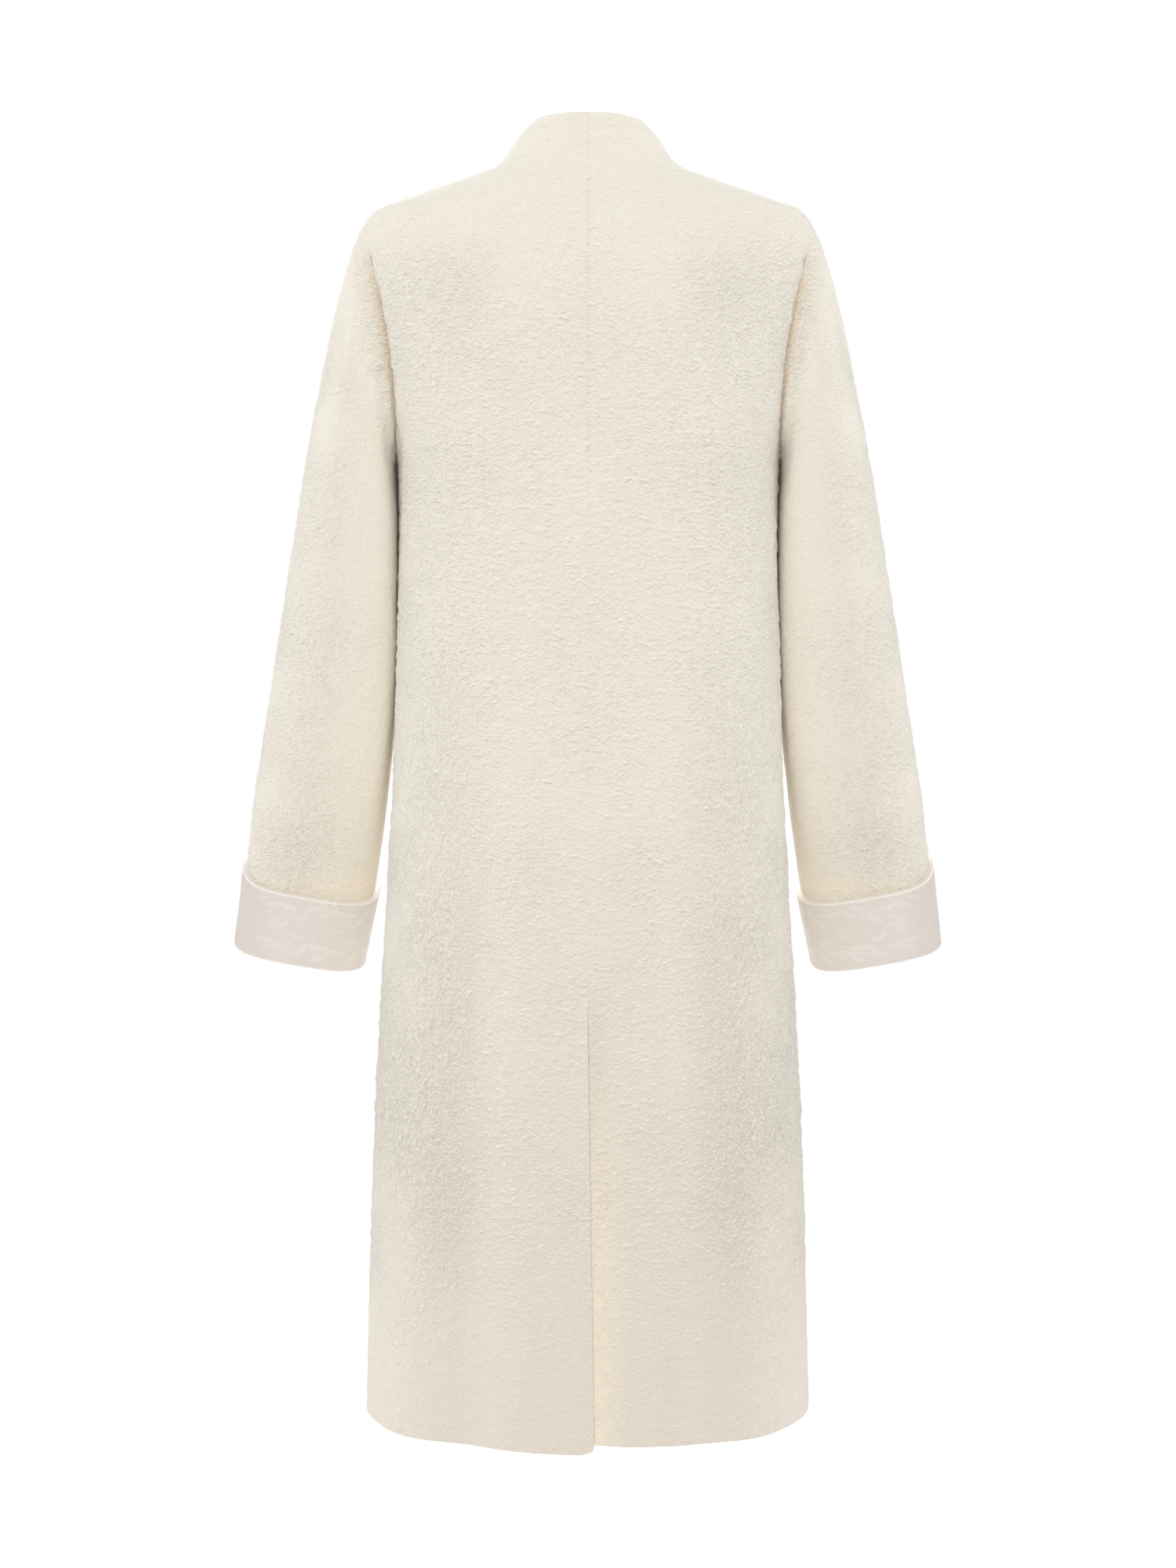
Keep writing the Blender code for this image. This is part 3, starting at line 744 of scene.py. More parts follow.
def panel_form(panel, grid, plain):
    """The face without crinkles, its normals, its true place and how flat it lies beneath."""
    z, x = grid.z, plain[..., 0]
    normals = body_normal(z, grid.turns, panel.facing)
    outward = FOLD_GAIN * fold_height(panel.side, panel.facing, x, z)
    lapped = 0 * x
    if carries_underlap(panel):
        lapped = dip(x, -upper_flap_edge(z)) * vent_open(z)
    elif panel.lapped == "under":
        lapped = dip(x, front_lap(z))
    points = plain + (outward - (WOOL + LAP_GAP) * lapped)[..., None] * normals
    if panel.lapped == "over" and panel.facing > 0:
        near = bell(grid.from_inner, 0.0, CORNER_WIDTH) * bell(z, z[0, 0], CORNER_WIDTH)
        points[..., 2] += VENT_CORNER * near
    true = points * (panel.side, 1, 1)
    lying = np.clip(LYING_GAIN * lapped, 0, 1)
    calm = ramp(grid.from_side, SIDE_CALM) * ramp(np.abs(x), CENTRE_CALM) * (1 - lying)
    puff = armhole_puff(grid.from_side, z, BODY_PUFF)
    points, normals = waved(points, False, normals, true, BODY_WAVES, calm, puff)
    return points, normals, true, lying


def panel_drop(panel, grid, x):
    """How far the face falls away at edges, seams and the dimple, and the painted shade of its seams'
    grooves.
    """
    z, hollow = grid.z, 0 * x
    heights = row_heights(panel.fine)[:, None]
    if panel.facing < 0:
        drop = edge_drop(grid.from_inner)
    elif carries_underlap(panel):
        drop = edge_drop(grid.from_inner + VENT_UNDERLAP)
    else:
        drop = edge_drop(grid.from_inner) * vent_open(z)
    drop += edge_drop(heights - HEM_SIDE) + edge_drop(NECK_TOP - heights)
    if panel.facing > 0:
        sewn = seam_line(grid.from_inner, z, CENTRE_SEAM) * (1 - vent_open(z))
        drop += SEAM_DROP * sewn
        hollow += SEAM_SHADE * sewn
    stitch = bell(NECK_TOP - heights, NECK_STITCH, STITCH_WIDTH)
    corner = ramp(np.abs(x), STITCH_CORNER)
    drop += STITCH_DROP * stitch * between(corner, STITCH_FAINT, 1)
    hollow += stitch * between(corner, STITCH_SHADE, 1)
    drop += DIMPLE_DEPTH * dimple_at(grid.from_side, z)
    return drop, hollow


def painted_warm_shade_of(panel, points, grid):
    """Painted warm shade: under the vent's flap, at the armholes and at the sides."""
    x, z = points[..., 0], points[..., 2]
    warm_shade = seam_line(grid.from_side, z, ARMHOLE_WARM_SHADE) + seam_line(grid.from_side, z, SIDE_WARM_SHADE)
    if carries_underlap(panel):
        warm_shade = warm_shade + seam_line(x - VENT_WARM_SHADE_AT, z, VENT_WARM_SHADE)
    return warm_shade


def panel_surface(panel):
    """Dense outer points, their inner twins and the values that the material reads."""
    grid = panel_grid(panel)
    plain = body_point(grid.z, grid.turns, panel.facing)
    points, normals, true, lying = panel_form(panel, grid, plain)
    nap, turn = body_nap(points), body_turn(points)
    height, hollow = relief_of(true, nap, turn)
    height = height * (1 - LYING_CALM * lying) * (1 - seam_line(grid.from_side, grid.z, SEAM_CALM))
    drop, seam_shade = panel_drop(panel, grid, plain[..., 0])
    outer = points + (height - drop)[..., None] * normals
    # painted shade in the creases and in the grooves of seams and stitching
    marks = {"nap": nap, "turn": turn, "hollow": hollow + seam_shade}
    # painted warm shade
    marks["blush"] = painted_warm_shade_of(panel, points, grid)
    # painted shade low down, darker towards the wearer's right
    marks["low"] = ramp(grid.z, LOW_SHADE_BODY) * (1 - LOW_SHADE_LEAN * true[..., 0])
    # painted shade along the armhole's seam, on the back only
    seen = panel.facing > 0
    marks["crease"] = crease_shade_of(grid.from_side, grid.z) if seen else 0 * grid.z
    return surface_of(panel.side, outer, points - WOOL * normals, marks)


# ---- form of the sleeve and the cuff


def armhole_loop(count):
    """The left armhole's edge from the shoulder point down the back and up the front."""
    heights = armhole_heights(count)
    down, up = heights[::-1], heights[1:-1]
    points, normals = [], []
    for facing, part in ((1, down), (-1, up)):
        turn = side_turn(part, facing)
        points.append(body_point(part, turn, facing))
        normals.append(body_normal(part, turn, facing))
    points = np.concatenate(points)
    points[[0, len(down) - 1], 1] = 0.0
    return points, np.concatenate(normals)


def station_frame(z):
    """Centre, outward and backward directions and line of the left sleeve at a height."""
    above = min(z + SMALL_STEP, STATIONS[0].z)
    below = max(z - SMALL_STEP, STATIONS[-1].z)

    def centre(height):
        return np.array([SLEEVE["x"](height), SLEEVE["y"](height), height])

    line = unit(centre(below) - centre(above))
    outward = unit(np.array([1.0, 0.0, 0.0]) - line * line[0])
    backward = np.cross(outward, line)
    return centre(z), outward, backward * np.sign(backward[1]), line


def oval(count, half_width, half_depth, inner_square):
    """Offsets (out, back) round an oval, from its outer point backwards, evenly spaced."""
    angle = np.linspace(0, 2 * math.pi, OVAL_SAMPLES)
    inner_back = (angle > math.pi / 2) & (angle < math.pi)
    power = 2 / np.where(inner_back, inner_square, SLEEVE_SQUARE)
    out = half_width * signed_power(np.cos(angle), power)
    back = half_depth * signed_power(np.sin(angle), power)
    ring = resample(np.stack([out, back], axis=-1), np.linspace(0, 1, count + 1)[:-1])
    return ring[:, 0], ring[:, 1]


def sleeve_ring(count, z, grow_width=0.0, grow_depth=0.0, square=None):
    """Offsets (out, back) of one ring of the left sleeve, or of one that stands off it."""
    if square is None:
        square = between(ramp(z, INNER_SQUARE_UP), INNER_SQUARE_LOW, INNER_SQUARE)
    return oval(count, SLEEVE["half_width"](z) + grow_width, SLEEVE["half_depth"](z) + grow_depth, square)


def sleeve_points(count, z):
    centre, outward, backward, _ = station_frame(z)
    out, back = sleeve_ring(count, z)
    return centre + out[:, None] * outward + back[:, None] * backward


def sleeve_head(count, shares):
    """Rings from the armhole to the first station, on one curve for each point of the loop."""
    loop, normals = armhole_loop(count // 2)
    direction = unit(np.roll(loop, -1, axis=0) - np.roll(loop, 1, axis=0))
    away = unit(np.cross(direction, normals))
    around = np.arange(count) / count
    lift = np.radians(HEAD_SHAPE["lift"](around))[:, None]
    leave = away * np.cos(lift) + normals * np.sin(lift)
    end = sleeve_points(count, STATIONS[0].z)
    line = unit(sleeve_points(count, STATIONS[0].z - HEAD_TANGENT) - end)
    start = loop + HEAD_CLEAR * away
    first = start + HEAD_SHAPE["leave"](around)[:, None] * leave
    last = end - HEAD_SHAPE["arrive"](around)[:, None] * line
    rings = []
    for s in shares:
        ring = start * (1 - s) ** 3 + 3 * first * s * (1 - s) ** 2
        rings.append(ring + 3 * last * s**2 * (1 - s) + end * s**3)
    return rings


def sleeve_painted_warm_shade(from_head, z, end):
    """Painted warm shade on a sleeve: at the armhole, along its inner side and above the cuff."""
    around = np.arange(z.shape[1]) / z.shape[1]
    back, front = (bell(around, middle, HEAD_WARM_SHADE_WIDTH) for middle in (0.25, 0.75))
    warm_shade = seam_line(from_head, z, HEAD_WARM_SHADE) * np.clip(back + front, 0, 1)
    within = sum(bell(around, middle, INNER_WARM_SHADE_WIDTH) for middle in INNER_WARM_SHADE_AT)
    warm_shade = warm_shade + INNER_WARM_SHADE * np.clip(within, 0, 1) * ramp(from_head, INNER_WARM_SHADE_START)
    return warm_shade + CUFF_WARM_SHADE * bell(z, end + CUFF_HEIGHT - CUFF_WARM_SHADE_DROP, CUFF_WARM_SHADE_WIDTH), back


def sleeve_surface(side):
    count = 2 * BACK_FINE.armhole
    near = np.array(EDGE_STEPS) / HEAD_LENGTH
    shares = np.concatenate([near, np.linspace(near[-1], 1, HEAD_RINGS - len(near) + 2)[1:]])
    rings = sleeve_head(count, shares)
    fold = STATIONS[-1].z
    end = fold - SLEEVE_END * station_frame(fold)[3][2]
    for z in np.linspace(STATIONS[0].z, end, SLEEVE_RINGS + 1)[1:]:
        rings.append(sleeve_points(count, z))
    points = np.array(rings)
    z = points[..., 2]
    from_head = lengths_along(points)
    outward_like = points - points.mean(axis=1, keepdims=True)
    true = points * (side, 1, 1)
    calm = ramp(from_head, HEAD_CALM) * ramp(z - end, END_CALM)
    puff = armhole_puff(from_head, z, SLEEVE_PUFF)
    points, normals = waved(points, True, outward_like, true, SLEEVE_WAVES, calm, puff)
    own = ramp(from_head, HEAD_OWN)
    nap = between(own, body_nap(points), sleeve_nap(points))
    turn = between(own, body_turn(points), SLEEVE_TURN)
    height, hollow = relief_of(true, nap, turn)
    height = height * ramp(z - end, END_RELIEF) * (1 - seam_line(from_head, z, SEAM_CALM))
    outer = points + (height - DIMPLE_DEPTH * dimple_at(from_head, z))[..., None] * normals
    warm_shade, back = sleeve_painted_warm_shade(from_head, z, end)
    # painted shade in the crinkles' creases, and painted warm shade
    marks = {"nap": nap, "turn": turn, "hollow": hollow, "blush": warm_shade}
    # painted shade low down on the sleeve
    marks["low"] = LOW_SHADE_SLEEVE_SHARE * ramp(z, LOW_SHADE_SLEEVE)
    # painted shade along the armhole's seam, on the sleeve's back
    marks["crease"] = crease_shade_of(from_head, z) * back
    return surface_of(side, outer, points - WOOL * normals, marks)


def cuff_section():
    """(height above the fold, extra half width, extra half depth) down, round and up."""
    outside = CUFF_GAP + SATIN
    inside = -WOOL - CUFF_GAP - SATIN
    radius = (outside - inside) / 2
    middle = (outside + inside) / 2
    steps = []
    for height in CUFF_HEIGHT - edge_spacing(CUFF_RINGS, CUFF_HEIGHT - radius, last=False):
        flare = ((height - radius) / (CUFF_HEIGHT - radius)) ** CUFF_FLARE_CURVE
        wider = outside + CUFF_FLARE_WIDTH * flare
        steps.append((height, wider, outside + CUFF_FLARE_DEPTH * flare))
    for turn in np.linspace(0, math.pi, FOLD_STEPS + 1)[1:]:
        reach = middle + radius * math.cos(turn)
        steps.append((radius - radius * math.sin(turn), reach, reach))
    for height in np.linspace(radius, CUFF_TURN_IN, TURN_IN_RINGS + 1)[1:]:
        steps.append((height, inside, inside))
    return steps


def stroke(distance):
    """1 on a drawn line and 0 away from it."""
    return bell(distance, 0.0, LINE)


def frond(x, y, at):
    """One curled, ribbed leaf: 1 on its midrib and ribs and 0 away from it."""
    x = (x - at.x + REPEAT / 4) % REPEAT - REPEAT / 4
    u = x * math.cos(at.angle) + (y - at.y) * math.sin(at.angle)
    v = -x * math.sin(at.angle) + (y - at.y) * math.cos(at.angle) - FROND_BEND * u * u
    share = np.clip(u / at.length, 0, 1)
    half = at.width * np.sin(share * math.pi) ** FROND_BLUNT + TINY
    within = np.clip(FROND_EDGE - FROND_EDGE * np.abs(v) / half, 0, 1) * (u > 0) * (u < at.length)
    ribs = (0.5 + 0.5 * np.cos(2 * math.pi * (u - RIB_SLANT * np.abs(v)) / RIB_PITCH)) ** 2
    return within * (np.maximum(RIB_SHARE * ribs, stroke(v)) + FROND_GROUND)


def damask(around, height):
    """A generic scroll of ribbed leaves on wavy vines, 0 on the ground and 1 on the figure."""
    x = around % REPEAT
    value = np.zeros_like(x)
    for at in FRONDS:
        value = np.maximum(value, frond(x, height, at))
    for level in VINE_HEIGHTS:
        vine = level + VINE_SWING * np.sin(x / REPEAT * 2 * math.pi + VINE_PHASE * level)
        value = np.maximum(value, VINE_SHARE * stroke(height - vine))
    return value


def cuff_figure(points, heights):
    """The woven figure on the cuff's outer face, a little bent and worn."""
    steps = np.linalg.norm(np.roll(points, -1, axis=1) - points, axis=-1)
    around = np.concatenate([0 * steps[:, :1], steps.cumsum(axis=1)[:, :-1]], axis=1)
    whole = steps.sum(axis=1, keepdims=True)
    around = around / whole * REPEAT * round(float(whole[0, 0]) / REPEAT)
    bent = lattice_noise(points / BENT_SIZE, SEED + BENT_SEED)
    across, up = BENT_REACH
    figure = damask(around + across * bent, heights + up * np.roll(bent, BENT_TURN, axis=1))
    worn = WORN_MEAN + WORN_SWING * lattice_noise(points / WORN_SIZE, SEED + WORN_SEED)
    return figure * worn * ramp(CUFF_HEIGHT - heights, FIGURE_EDGE)


def cuff_surface(side):
    fold = STATIONS[-1].z + CUFF_LIFT
    centre, outward, backward, line = station_frame(fold)
    section = cuff_section()
    heights = np.array(section)[:, :1] * np.ones((1, CUFF_AROUND))
    rings = []
    for height, wider, deeper in section:
        z = fold - height * line[2]
        out, back = sleeve_ring(CUFF_AROUND, z, wider, deeper, INNER_SQUARE_LOW)
        rise = (CUFF_RISE + CUFF_RISE_OUT * out / out.max()) * (1 - ease(back / back.max()))
        along = height + rise * ease(height / CUFF_HEIGHT - CUFF_RISE_FROM)
        ring = out[:, None] * outward + back[:, None] * backward
        rings.append(centre - along[:, None] * line + ring)
    points = np.array(rings)
    outside = (np.arange(len(rings)) <= CUFF_RINGS)[:, None] * np.ones((1, CUFF_AROUND))
    from_axis = points - centre + heights[..., None] * line
    normals = raw_normals(points, True)
    normals = normals * np.sign(np.sum(normals[0] * from_axis[0], axis=-1).mean())
    from_edge = CUFF_HEIGHT - heights
    thinner = LIP_DEPTH * bell(from_edge, 0.0, ROLLED_LIP) * outside
    inner = points - (SATIN + thinner)[..., None] * normals
    figure = cuff_figure(points, heights) * outside
    seed = SEED + SOFT_SEEDS[side > 0]
    soft = SOFT_HEIGHT * lattice_noise(points / SOFT_SIZE, seed) * ramp(from_edge, SOFT_EDGE)
    # the rolled lip's band: raised, and with a painted highlight
    lip = bell(from_edge, LIP_MIDDLE, LIP_WIDTH) * outside
    raised = FIGURE_RAISED * figure + LIP_RAISED * lip
    raised = raised + (soft - edge_drop(from_edge, depth=LIP_ROUND)) * outside
    outer = points + raised[..., None] * normals
    out = from_axis[..., 0] / np.abs(from_axis[..., 0]).max()
    # painted shade at the cuff's ends
    shade = np.maximum(ramp(out, SHADE_OUT), SHADE_IN_SHARE * ramp(out, SHADE_IN))
    return surface_of(side, outer, inner, {"figure": figure, "lip": lip, "shade": shade})


# ---- meshes


def shell_mesh(name, surface, closed, skip_rows=0, skip_columns=0):
    """A closed shell: the dense outer face, a coarser inner face and rims that join the two.

    The first skip_columns columns are left out from row skip_rows upwards.
    """
    rows, columns = surface.outer.shape[:2]
    outer_id = np.arange(rows * columns).reshape(rows, columns)
    coarse_rows = np.arange(0, rows, COARSE)
    coarse_columns = np.arange(0, columns, COARSE)
    picked = np.ix_(coarse_rows, coarse_columns)
    inner = surface.inner[picked]
    inner_id = rows * columns + np.arange(inner.shape[0] * inner.shape[1]).reshape(inner.shape[:2])

    def kept(row, column):
        return np.logical_not((column < skip_columns) & (row >= skip_rows))

    last = columns if closed else columns - 1
    row, column = np.meshgrid(np.arange(rows - 1), np.arange(last), indexing="ij")
    keep = kept(row, column)
    row, column = row[keep], column[keep]
    beside = (column + 1) % columns
    corners = ((row, column), (row, beside), (row + 1, beside), (row + 1, column))
    faces = np.stack([outer_id[corner] for corner in corners], axis=-1).tolist()

    rims = []

    def rim(first, second, dense):
        """Triangles between one coarse edge and the dense points beside it."""
        half = len(dense) // 2
        for j in range(len(dense) - 1):
            rims.append((first if j < half else second, dense[j + 1], dense[j]))
        rims.append((first, second, dense[half]))

    wrap = len(coarse_columns)
    coarse_count = len(coarse_rows) - 1
    coarse_last = wrap if closed else wrap - 1
    span = np.arange(COARSE + 1)
    for i, j in np.ndindex(coarse_count, coarse_last):
        low, left = i * COARSE, j * COARSE
        if not kept(low, left):
            continue
        a, b = inner_id[i, j], inner_id[i, (j + 1) % wrap]
        c, d = inner_id[i + 1, (j + 1) % wrap], inner_id[i + 1, j]
        faces.append((d, c, b, a))
        if i == 0:
            rim(a, b, outer_id[low, (left + span) % columns])
        if i == coarse_count - 1 or not kept(low + COARSE, left):
            rim(c, d, outer_id[low + COARSE, (left + span[::-1]) % columns])
        if not closed and (j == 0 or not kept(low, left - COARSE)):
            rim(d, a, outer_id[low + span[::-1], left])
        if not closed and j == coarse_last - 1:
            rim(b, c, outer_id[low + span, left + COARSE])
    faces += rims
    points = np.concatenate([surface.outer.reshape(-1, 3), inner.reshape(-1, 3)])
    used = np.zeros(len(points), bool)
    used[np.concatenate([np.ravel(face) for face in faces])] = True
    renumber = np.cumsum(used) - 1
    data = bpy.data.meshes.new(name)
    data.from_pydata(points[used], [], [renumber[list(face)].tolist() for face in faces])
    for key, value in surface.marks.items():
        layer = data.attributes.new(key, "FLOAT", "POINT")
        both = np.concatenate([value.ravel(), value[picked].ravel()])
        layer.data.foreach_set("value", np.ascontiguousarray(both[used], np.float32))
    data.update()
    return data


def add_object(name, data):
    added = bpy.data.objects.new(name, data)
    bpy.context.scene.collection.objects.link(added)
    return added


def add_piece(name, data, material, flip):
    if flip:
        data.flip_normals()
    data.shade_smooth()
    data.set_sharp_from_angle(angle=SHARP_ANGLE)
    data.materials.append(material)
    return add_object(name, data)


# ---- materials


class Nodes:
    """A small helper that adds and joins the nodes of one material or world."""

    def __init__(self, owner, shader="Principled BSDF"):
        owner.use_nodes = True
        self.owner = owner
        self.tree = owner.node_tree
        self.shader = self.tree.nodes[shader]

    def add(self, kind, settings=(), **inputs):
        node = self.tree.nodes.new(kind)
        for key, value in dict(settings).items():
            setattr(node, key, value)
        self.fill(node, **inputs)
        return node

    def fill(self, node, **inputs):
        for key, value in inputs.items():
            self.feed(node.inputs[key.replace("_", " ")], value)

    def feed(self, socket, value):
        if isinstance(value, bpy.types.NodeSocket):
            self.tree.links.new(value, socket)
        else:
            socket.default_value = value

    def mark(self, name):
        return self.add("ShaderNodeAttribute", {"attribute_name": name}).outputs["Fac"]

    def place(self, kind="Object"):
        return self.add("ShaderNodeTexCoord").outputs[kind]

    def clamp(self, value):
        return self.add("ShaderNodeClamp", Value=value).outputs[0]

    def math(self, operation, first, second=0.0, third=0.0):
        node = self.add("ShaderNodeMath", {"operation": operation})
        for socket, value in zip(node.inputs, (first, second, third)):
            self.feed(socket, value)
        return node.outputs[0]

    def scaled(self, value, gain, shift=0.0):
        return self.math("MULTIPLY_ADD", value, gain, shift)

    def smooth(self, value, low, high):
        """0 up to low and 1 from high on, with a soft start and end."""
        kind = {"interpolation_type": "SMOOTHSTEP"}
        return self.add("ShaderNodeMapRange", kind, Value=value, From_Min=low, From_Max=high).outputs[0]

    def noise(self, place, grain):
        scaled = self.add("ShaderNodeMapping", {"vector_type": "POINT"}, Vector=place)
        scaled.inputs["Scale"].default_value = [1 / (grain.size * s) for s in grain.stretch]
        node = self.add(
            "ShaderNodeTexNoise", Vector=scaled.outputs[0], Scale=1.0, Detail=grain.detail,
            Roughness=NOISE_ROUGHNESS, Distortion=grain.distortion,
        )
        return node.outputs["Fac"]

    def billow(self, value):
        """Rounded bumps parted by narrow creases, from an even noise."""
        return self.math("ABSOLUTE", self.scaled(value, 2.0, -1.0))

    def mix(self, share, first, second, kind="FLOAT", base=2, result=0):
        node = self.add("ShaderNodeMix", {"data_type": kind})
        for place, value in ((0, share), (base, first), (base + 1, second)):
            self.feed(node.inputs[place], value)
        return node.outputs[result]

    def blend(self, share, first, second):
        return self.mix(share, first, second, "RGBA", 6, 2)

    def bump(self, height, strength, distance):
        node = self.add("ShaderNodeBump", Height=height, Strength=strength, Distance=distance)
        return node.outputs[0]


CREAM = (0.875, 0.826, 0.710, 1.0)
CREAM_PINK = (0.865, 0.802, 0.705, 1.0)
# painted shade low down
CREAM_LOW_SHADE = (0.745, 0.672, 0.575, 1.0)
# painted shade along the armhole's seam
CREAM_CREASE_SHADE = (0.640, 0.450, 0.240, 1.0)
# painted warm shade where the cloth lies in shade
CREAM_WARM_SHADE = (0.940, 0.820, 0.660, 1.0)
CREAM_PAINTED_SHADE = (0.690, 0.640, 0.520, 1.0)  # painted shade on the underside of a crumb and in its hollows
CREAM_PAINTED_HIGHLIGHT = (0.960, 0.915, 0.820, 1.0)  # and painted highlight on its upper side
SATIN_GROUND = (0.705, 0.652, 0.595, 1.0)
SATIN_FIGURE = (0.850, 0.810, 0.755, 1.0)
# painted shade at the cuff's ends
SATIN_PAINTED_SHADE = (0.590, 0.530, 0.480, 1.0)
# painted highlight on the rolled lip
SATIN_PAINTED_HIGHLIGHT = (0.860, 0.815, 0.750, 1.0)

NOISE_ROUGHNESS = 0.55
Grain = namedtuple("Grain", "size detail stretch distortion", defaults=((1.0, 1.0, 1.0), 0.0))
CRUMBS_ACROSS = Grain(0.0036, 3.0, (2.0, 2.0, 0.85), 0.6)
CRUMBS_UPRIGHT = Grain(0.0036, 3.0, (0.85, 0.85, 1.9), 0.6)
CRUMBS_SMALL = Grain(0.0019, 2.0, (1.3, 1.3, 0.8), 0.3)
SMALL_GAIN = 0.7
PAINTED_LIGHT_REACH = (0.0003, 0.0, 0.0008)  # how far apart a crumb's two sides are compared for its painted light from above
# strength of the crumbs' painted highlight and painted shade
PAINTED_LIGHT_GAIN = 2.6
FUZZ = Grain(0.0008, 2.0)
# strength of the painted light on the fine fuzz
FUZZ_PAINTED_LIGHT_GAIN = 0.6
FUZZ_HEIGHT = 0.45
TINT = Grain(0.16, 1.0)
TINT_GAIN = 2.2
TINT_FROM = 0.35
PATCHES = Grain(0.006, 3.0)  # they break up the painted warm shade and the painted crease shade
PATCH_GAIN = 1.6
PATCH_LEAST = 0.2
# how much painted shade the hollows get
HOLLOW_SHADE_DIM = 0.35

CURLS = Grain(0.0085, 1.5, (1.5, 1.5, 0.75), 1.4)
CURL_WIDTH = 0.05  # of the fine curled lines between the leaves, in shares of the noise
CURL_GAIN = 0.7
LEAF_GAIN = 0.75
FIGURE_TINT = 0.8
YARN = Grain(0.0006, 1.0, (2.5, 2.5, 0.8))
YARN_HEIGHT = 0.35
CLOUD = Grain(0.02, 2.0)
CLOUD_TINT = 0.25
GROUND_ROUGH = 0.52
FIGURE_SHINE = 0.14


def crumb_height(n, place, turn):
    """Height of the crumbs of the felted face, from wide rounded ones and small ones."""
    level, steep, small = (
        n.billow(n.noise(place, grain)) for grain in (CRUMBS_ACROSS, CRUMBS_UPRIGHT, CRUMBS_SMALL)
    )
    return n.scaled(small, SMALL_GAIN, n.mix(turn, level, steep))


def wool_material():
    """Boiled wool: crumbs with painted highlight above and painted shade below, a fine fuzz, soft tints,
    painted shade low down and in hollows and creases, and painted warm shade.
    """
    n = Nodes(bpy.data.materials.new("boiled_wool"))
    place, nap, turn = n.place(), n.mark("nap"), n.mark("turn")
    sides = []
    for operation in ("ADD", "SUBTRACT"):
        moved = n.add("ShaderNodeVectorMath", {"operation": operation})
        n.feed(moved.inputs[0], place)
        n.feed(moved.inputs[1], PAINTED_LIGHT_REACH)
        sides.append(crumb_height(n, moved.outputs[0], turn))
    upper, lower = sides
    fuzz = n.noise(place, FUZZ)
    fuzz_painted_light = n.scaled(fuzz, FUZZ_PAINTED_LIGHT_GAIN, -FUZZ_PAINTED_LIGHT_GAIN / 2)
    # Painted light: lighter where the crumbs face up, darker where they face down
    painted_light = n.scaled(n.math("SUBTRACT", lower, upper), n.scaled(nap, PAINTED_LIGHT_GAIN), fuzz_painted_light)
    middle = n.scaled(n.math("ADD", upper, lower), 0.5)
    height = n.scaled(middle, nap, n.scaled(fuzz, FUZZ_HEIGHT))
    patchy = n.scaled(n.noise(place, PATCHES), PATCH_GAIN, PATCH_LEAST)
    # Over the cream and its random pink tint go painted shade low down, painted warm shade, painted
    # crease shade, and the painted highlight and painted shade of crumbs and hollows
    colour = CREAM
    for share, other in (
        (n.scaled(n.noise(place, TINT), TINT_GAIN, -TINT_FROM * TINT_GAIN), CREAM_PINK),
        (n.mark("low"), CREAM_LOW_SHADE),
        (n.scaled(n.mark("blush"), patchy), CREAM_WARM_SHADE),
        (n.scaled(n.mark("crease"), patchy), CREAM_CREASE_SHADE),
        (painted_light, CREAM_PAINTED_HIGHLIGHT),
        (n.scaled(n.mark("hollow"), HOLLOW_SHADE_DIM, n.scaled(painted_light, -1.0)), CREAM_PAINTED_SHADE),
    ):
        colour = n.blend(n.clamp(share), colour, other)
    n.fill(
        n.shader, Base_Color=colour, Roughness=0.95, Sheen_Weight=0.45, Sheen_Roughness=0.5,
        Specular_IOR_Level=0.2, Normal=n.bump(height, 0.9, 0.0020),
    )
    return n.owner


def satin_material():
    """Figured satin: a smooth tone-on-tone scroll on a duller ground, fine yarns, painted shade at its
    ends and a painted highlight on its rolled lip.
    """
    n = Nodes(bpy.data.materials.new("figured_satin"))
    place = n.place()
    curl = n.clamp(n.scaled(n.billow(n.noise(place, CURLS)), -1 / CURL_WIDTH, 1.0))
    leaf = n.scaled(n.mark("figure"), LEAF_GAIN)
    figure = n.math("MAXIMUM", leaf, n.scaled(curl, CURL_GAIN))
    colour = n.blend(n.scaled(figure, FIGURE_TINT), SATIN_GROUND, SATIN_FIGURE)
    colour = n.blend(n.scaled(n.noise(place, CLOUD), CLOUD_TINT), colour, SATIN_GROUND)
    # painted shade at the cuff's ends
    colour = n.blend(n.clamp(n.mark("shade")), colour, SATIN_PAINTED_SHADE)
    # painted highlight on the rolled lip
    colour = n.blend(n.clamp(n.mark("lip")), colour, SATIN_PAINTED_HIGHLIGHT)
    height = n.scaled(n.noise(place, YARN), YARN_HEIGHT, figure)
    n.fill(
        n.shader, Base_Color=colour, Roughness=n.scaled(figure, -FIGURE_SHINE, GROUND_ROUGH),
        Specular_IOR_Level=0.45, Normal=n.bump(height, 0.45, 0.0004),
    )
    return n.owner


# ---- stage, light and camera


FLOOR_PALE = (0.96, 0.96, 0.96, 1.0)
FLOOR_DIM = (0.60, 0.60, 0.60, 1.0)
FLOOR_SIDE = 8.0
FLOOR_FAR = -5.0  # where it ends beyond the garment
FLOOR_NEAR = 8.0  # and on the camera's side
FLOOR_FADE = (-0.4, 0.9)  # it is pale before the first place and dim from the second one on

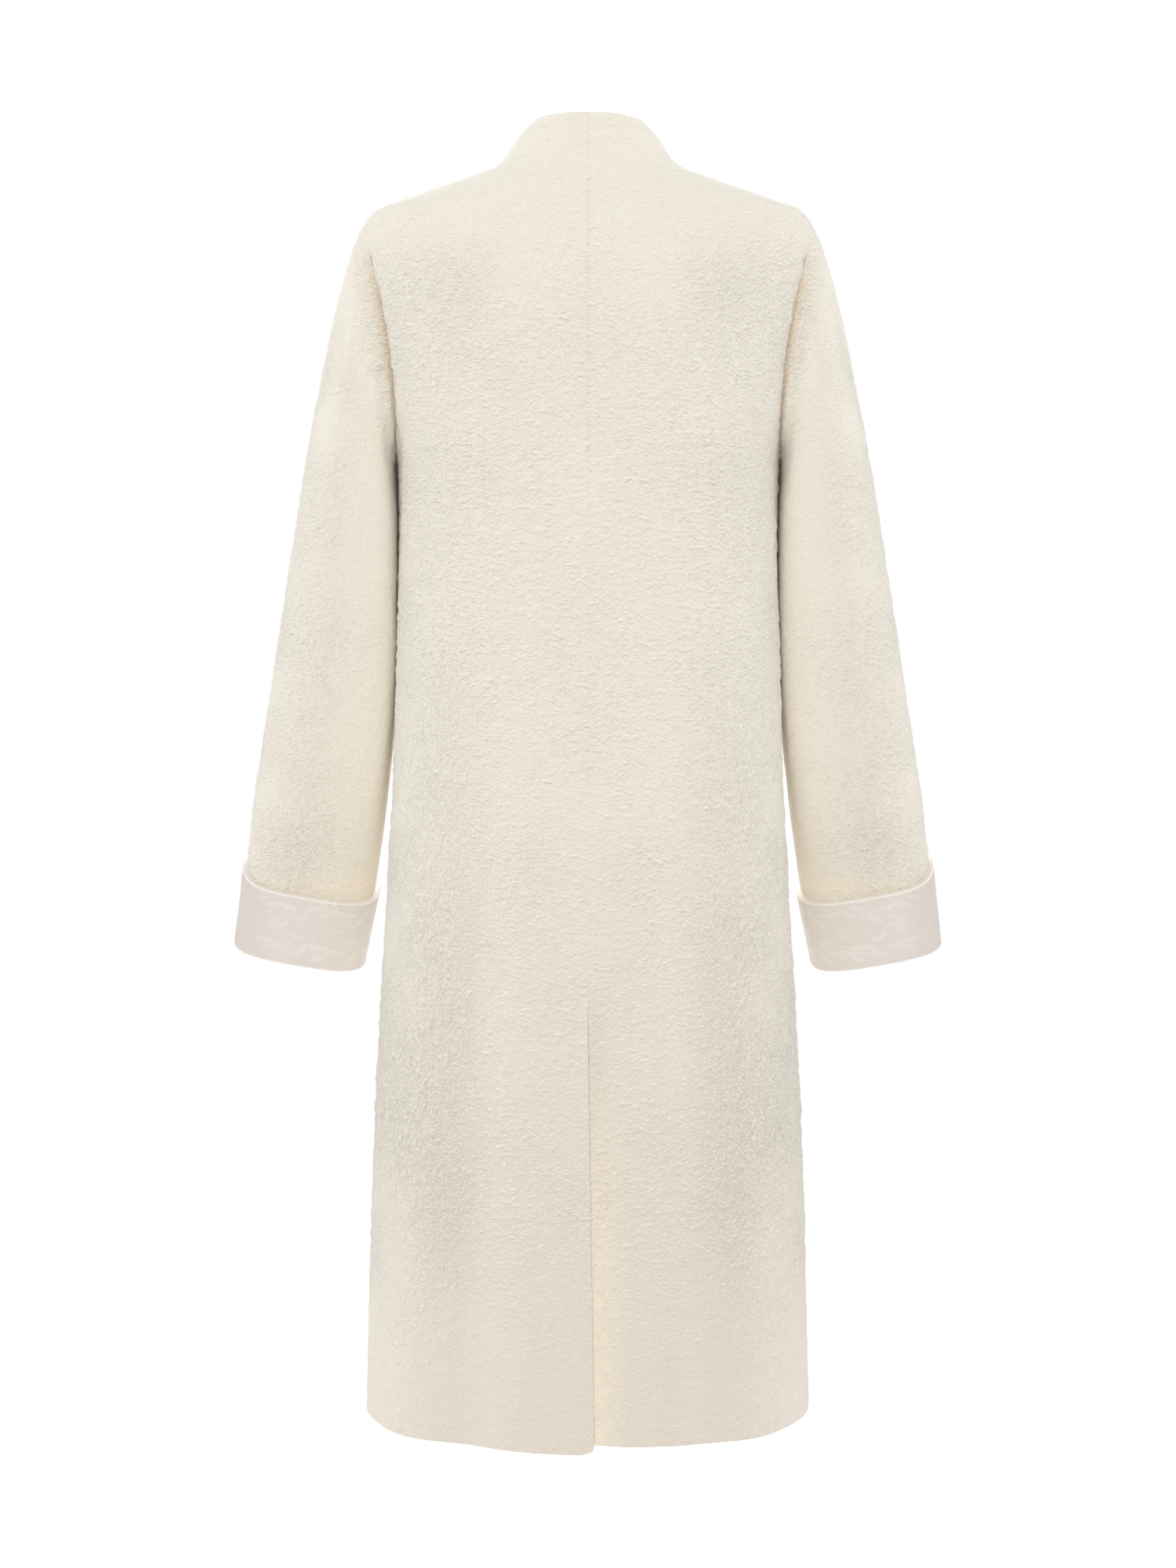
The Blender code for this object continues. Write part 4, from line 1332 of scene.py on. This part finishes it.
Lamp = namedtuple("Lamp", "name place aim size power")
LAMPS = table(Lamp, (
    ("key", (0.2, 2.4, 1.7), (0.0, 0.0, -0.2), 1.4, 22.0),
    ("round_camera", (0.0, 3.4, -0.5), (0.0, 0.0, -0.5), 1.4, 35.0),
    ("side_left", (2.8, 0.5, 0.0), (0.0, 0.0, -0.5), 1.6, 18.0),
    ("side_right", (-2.8, 0.5, 0.0), (0.0, 0.0, -0.5), 1.6, 18.0),
    ("floor_beyond", (0.4, -4.2, 1.9), (0.0, -3.0, -1.4), 2.6, 150.0),
))
WORLD_BEHIND = 1.0  # brightness of the studio beyond the garment, which the camera sees as white
# Direction in which it fades, where the fade starts and ends, and the brightness that it reaches
WORLD_FADES = (("Y", -0.15, 0.45, 0.25), ("Z", 0.45, 0.95, 1.0))


def add_stage():
    """A plain pale floor under the hanging garment, dimmer on the camera's side."""
    data = bpy.data.meshes.new("floor")
    corners = ((-1, FLOOR_FAR), (1, FLOOR_FAR), (1, FLOOR_NEAR), (-1, FLOOR_NEAR))
    data.from_pydata([(x * FLOOR_SIDE, y, FLOOR) for x, y in corners], [], [(0, 1, 2, 3)])
    n = Nodes(bpy.data.materials.new("floor_pale"))
    parts = n.add("ShaderNodeSeparateXYZ", Vector=n.place())
    share = n.smooth(parts.outputs["Y"], *FLOOR_FADE)
    n.fill(n.shader, Base_Color=n.blend(share, FLOOR_PALE, FLOOR_DIM), Roughness=0.9)
    data.materials.append(n.owner)
    add_object("floor", data)


def studio_world():
    """A white studio, much dimmer on the camera's side and at full brightness overhead."""
    n = Nodes(bpy.data.worlds.new("studio"), "Background")
    parts = n.add("ShaderNodeSeparateXYZ", Vector=n.place("Generated"))
    strength = WORLD_BEHIND
    for axis, low, high, brightness in WORLD_FADES:
        strength = n.mix(n.smooth(parts.outputs[axis], low, high), strength, brightness)
    n.fill(n.shader, Strength=strength, Color=(1.0, 1.0, 1.0, 1.0))
    return n.owner


def add_lights():
    for lamp in LAMPS:
        data = bpy.data.lights.new(lamp.name, "AREA")
        data.size = lamp.size
        data.energy = lamp.power
        light = add_object(lamp.name, data)
        light.location = lamp.place
        away = Vector(lamp.aim) - Vector(lamp.place)
        light.rotation_euler = away.to_track_quat("-Z", "Y").to_euler()
    bpy.context.scene.world = studio_world()
    bpy.context.scene.view_settings.view_transform = "Standard"
    bpy.context.scene.view_settings.look = "None"


def add_camera():
    data = bpy.data.cameras.new("camera")
    data.sensor_fit = "VERTICAL"
    data.sensor_height = SENSOR
    data.lens = SENSOR * CAMERA_BACK / (PHOTO_HEIGHT * PIXEL)
    camera = add_object("camera", data)
    camera.location = (0.0, CAMERA_BACK, CAMERA_HEIGHT)
    camera.rotation_euler = (math.radians(90), 0.0, math.radians(180))
    bpy.context.scene.camera = camera


# ---- the pieces

# Flat cut of each piece: width, length and area in metres, and how it is held
Cut = namedtuple("Cut", "width length area held")


def declare(piece, node):
    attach(piece, "root")
    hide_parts(node)


def main():
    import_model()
    add_camera()
    add_lights()
    add_stage()
    wool, satin = wool_material(), satin_material()
    for panel in PANELS:
        skip = (0, 0)
        if carries_underlap(panel):
            top = int(np.searchsorted(row_heights(panel.fine), VENT_TOP - VENT_EASE_DOWN))
            skip = (top // COARSE * COARSE, panel.fine.lap_columns)
        data = shell_mesh(panel.name, panel_surface(panel), False, *skip)
        piece = add_piece("cloth_" + panel.name, data, wool, panel.side * panel.facing > 0)
        declare(piece, panel.name)
    for side, word in ((1, "left"), (-1, "right")):
        for part, surface, slot, material in (
            ("sleeve", sleeve_surface, "wool", wool), ("cuff", cuff_surface, "satin", satin)
        ):
            name = part + "_" + word
            data = shell_mesh(name, surface(side), True)
            declare(add_piece("cloth_" + name, data, material, side > 0), name)


main()
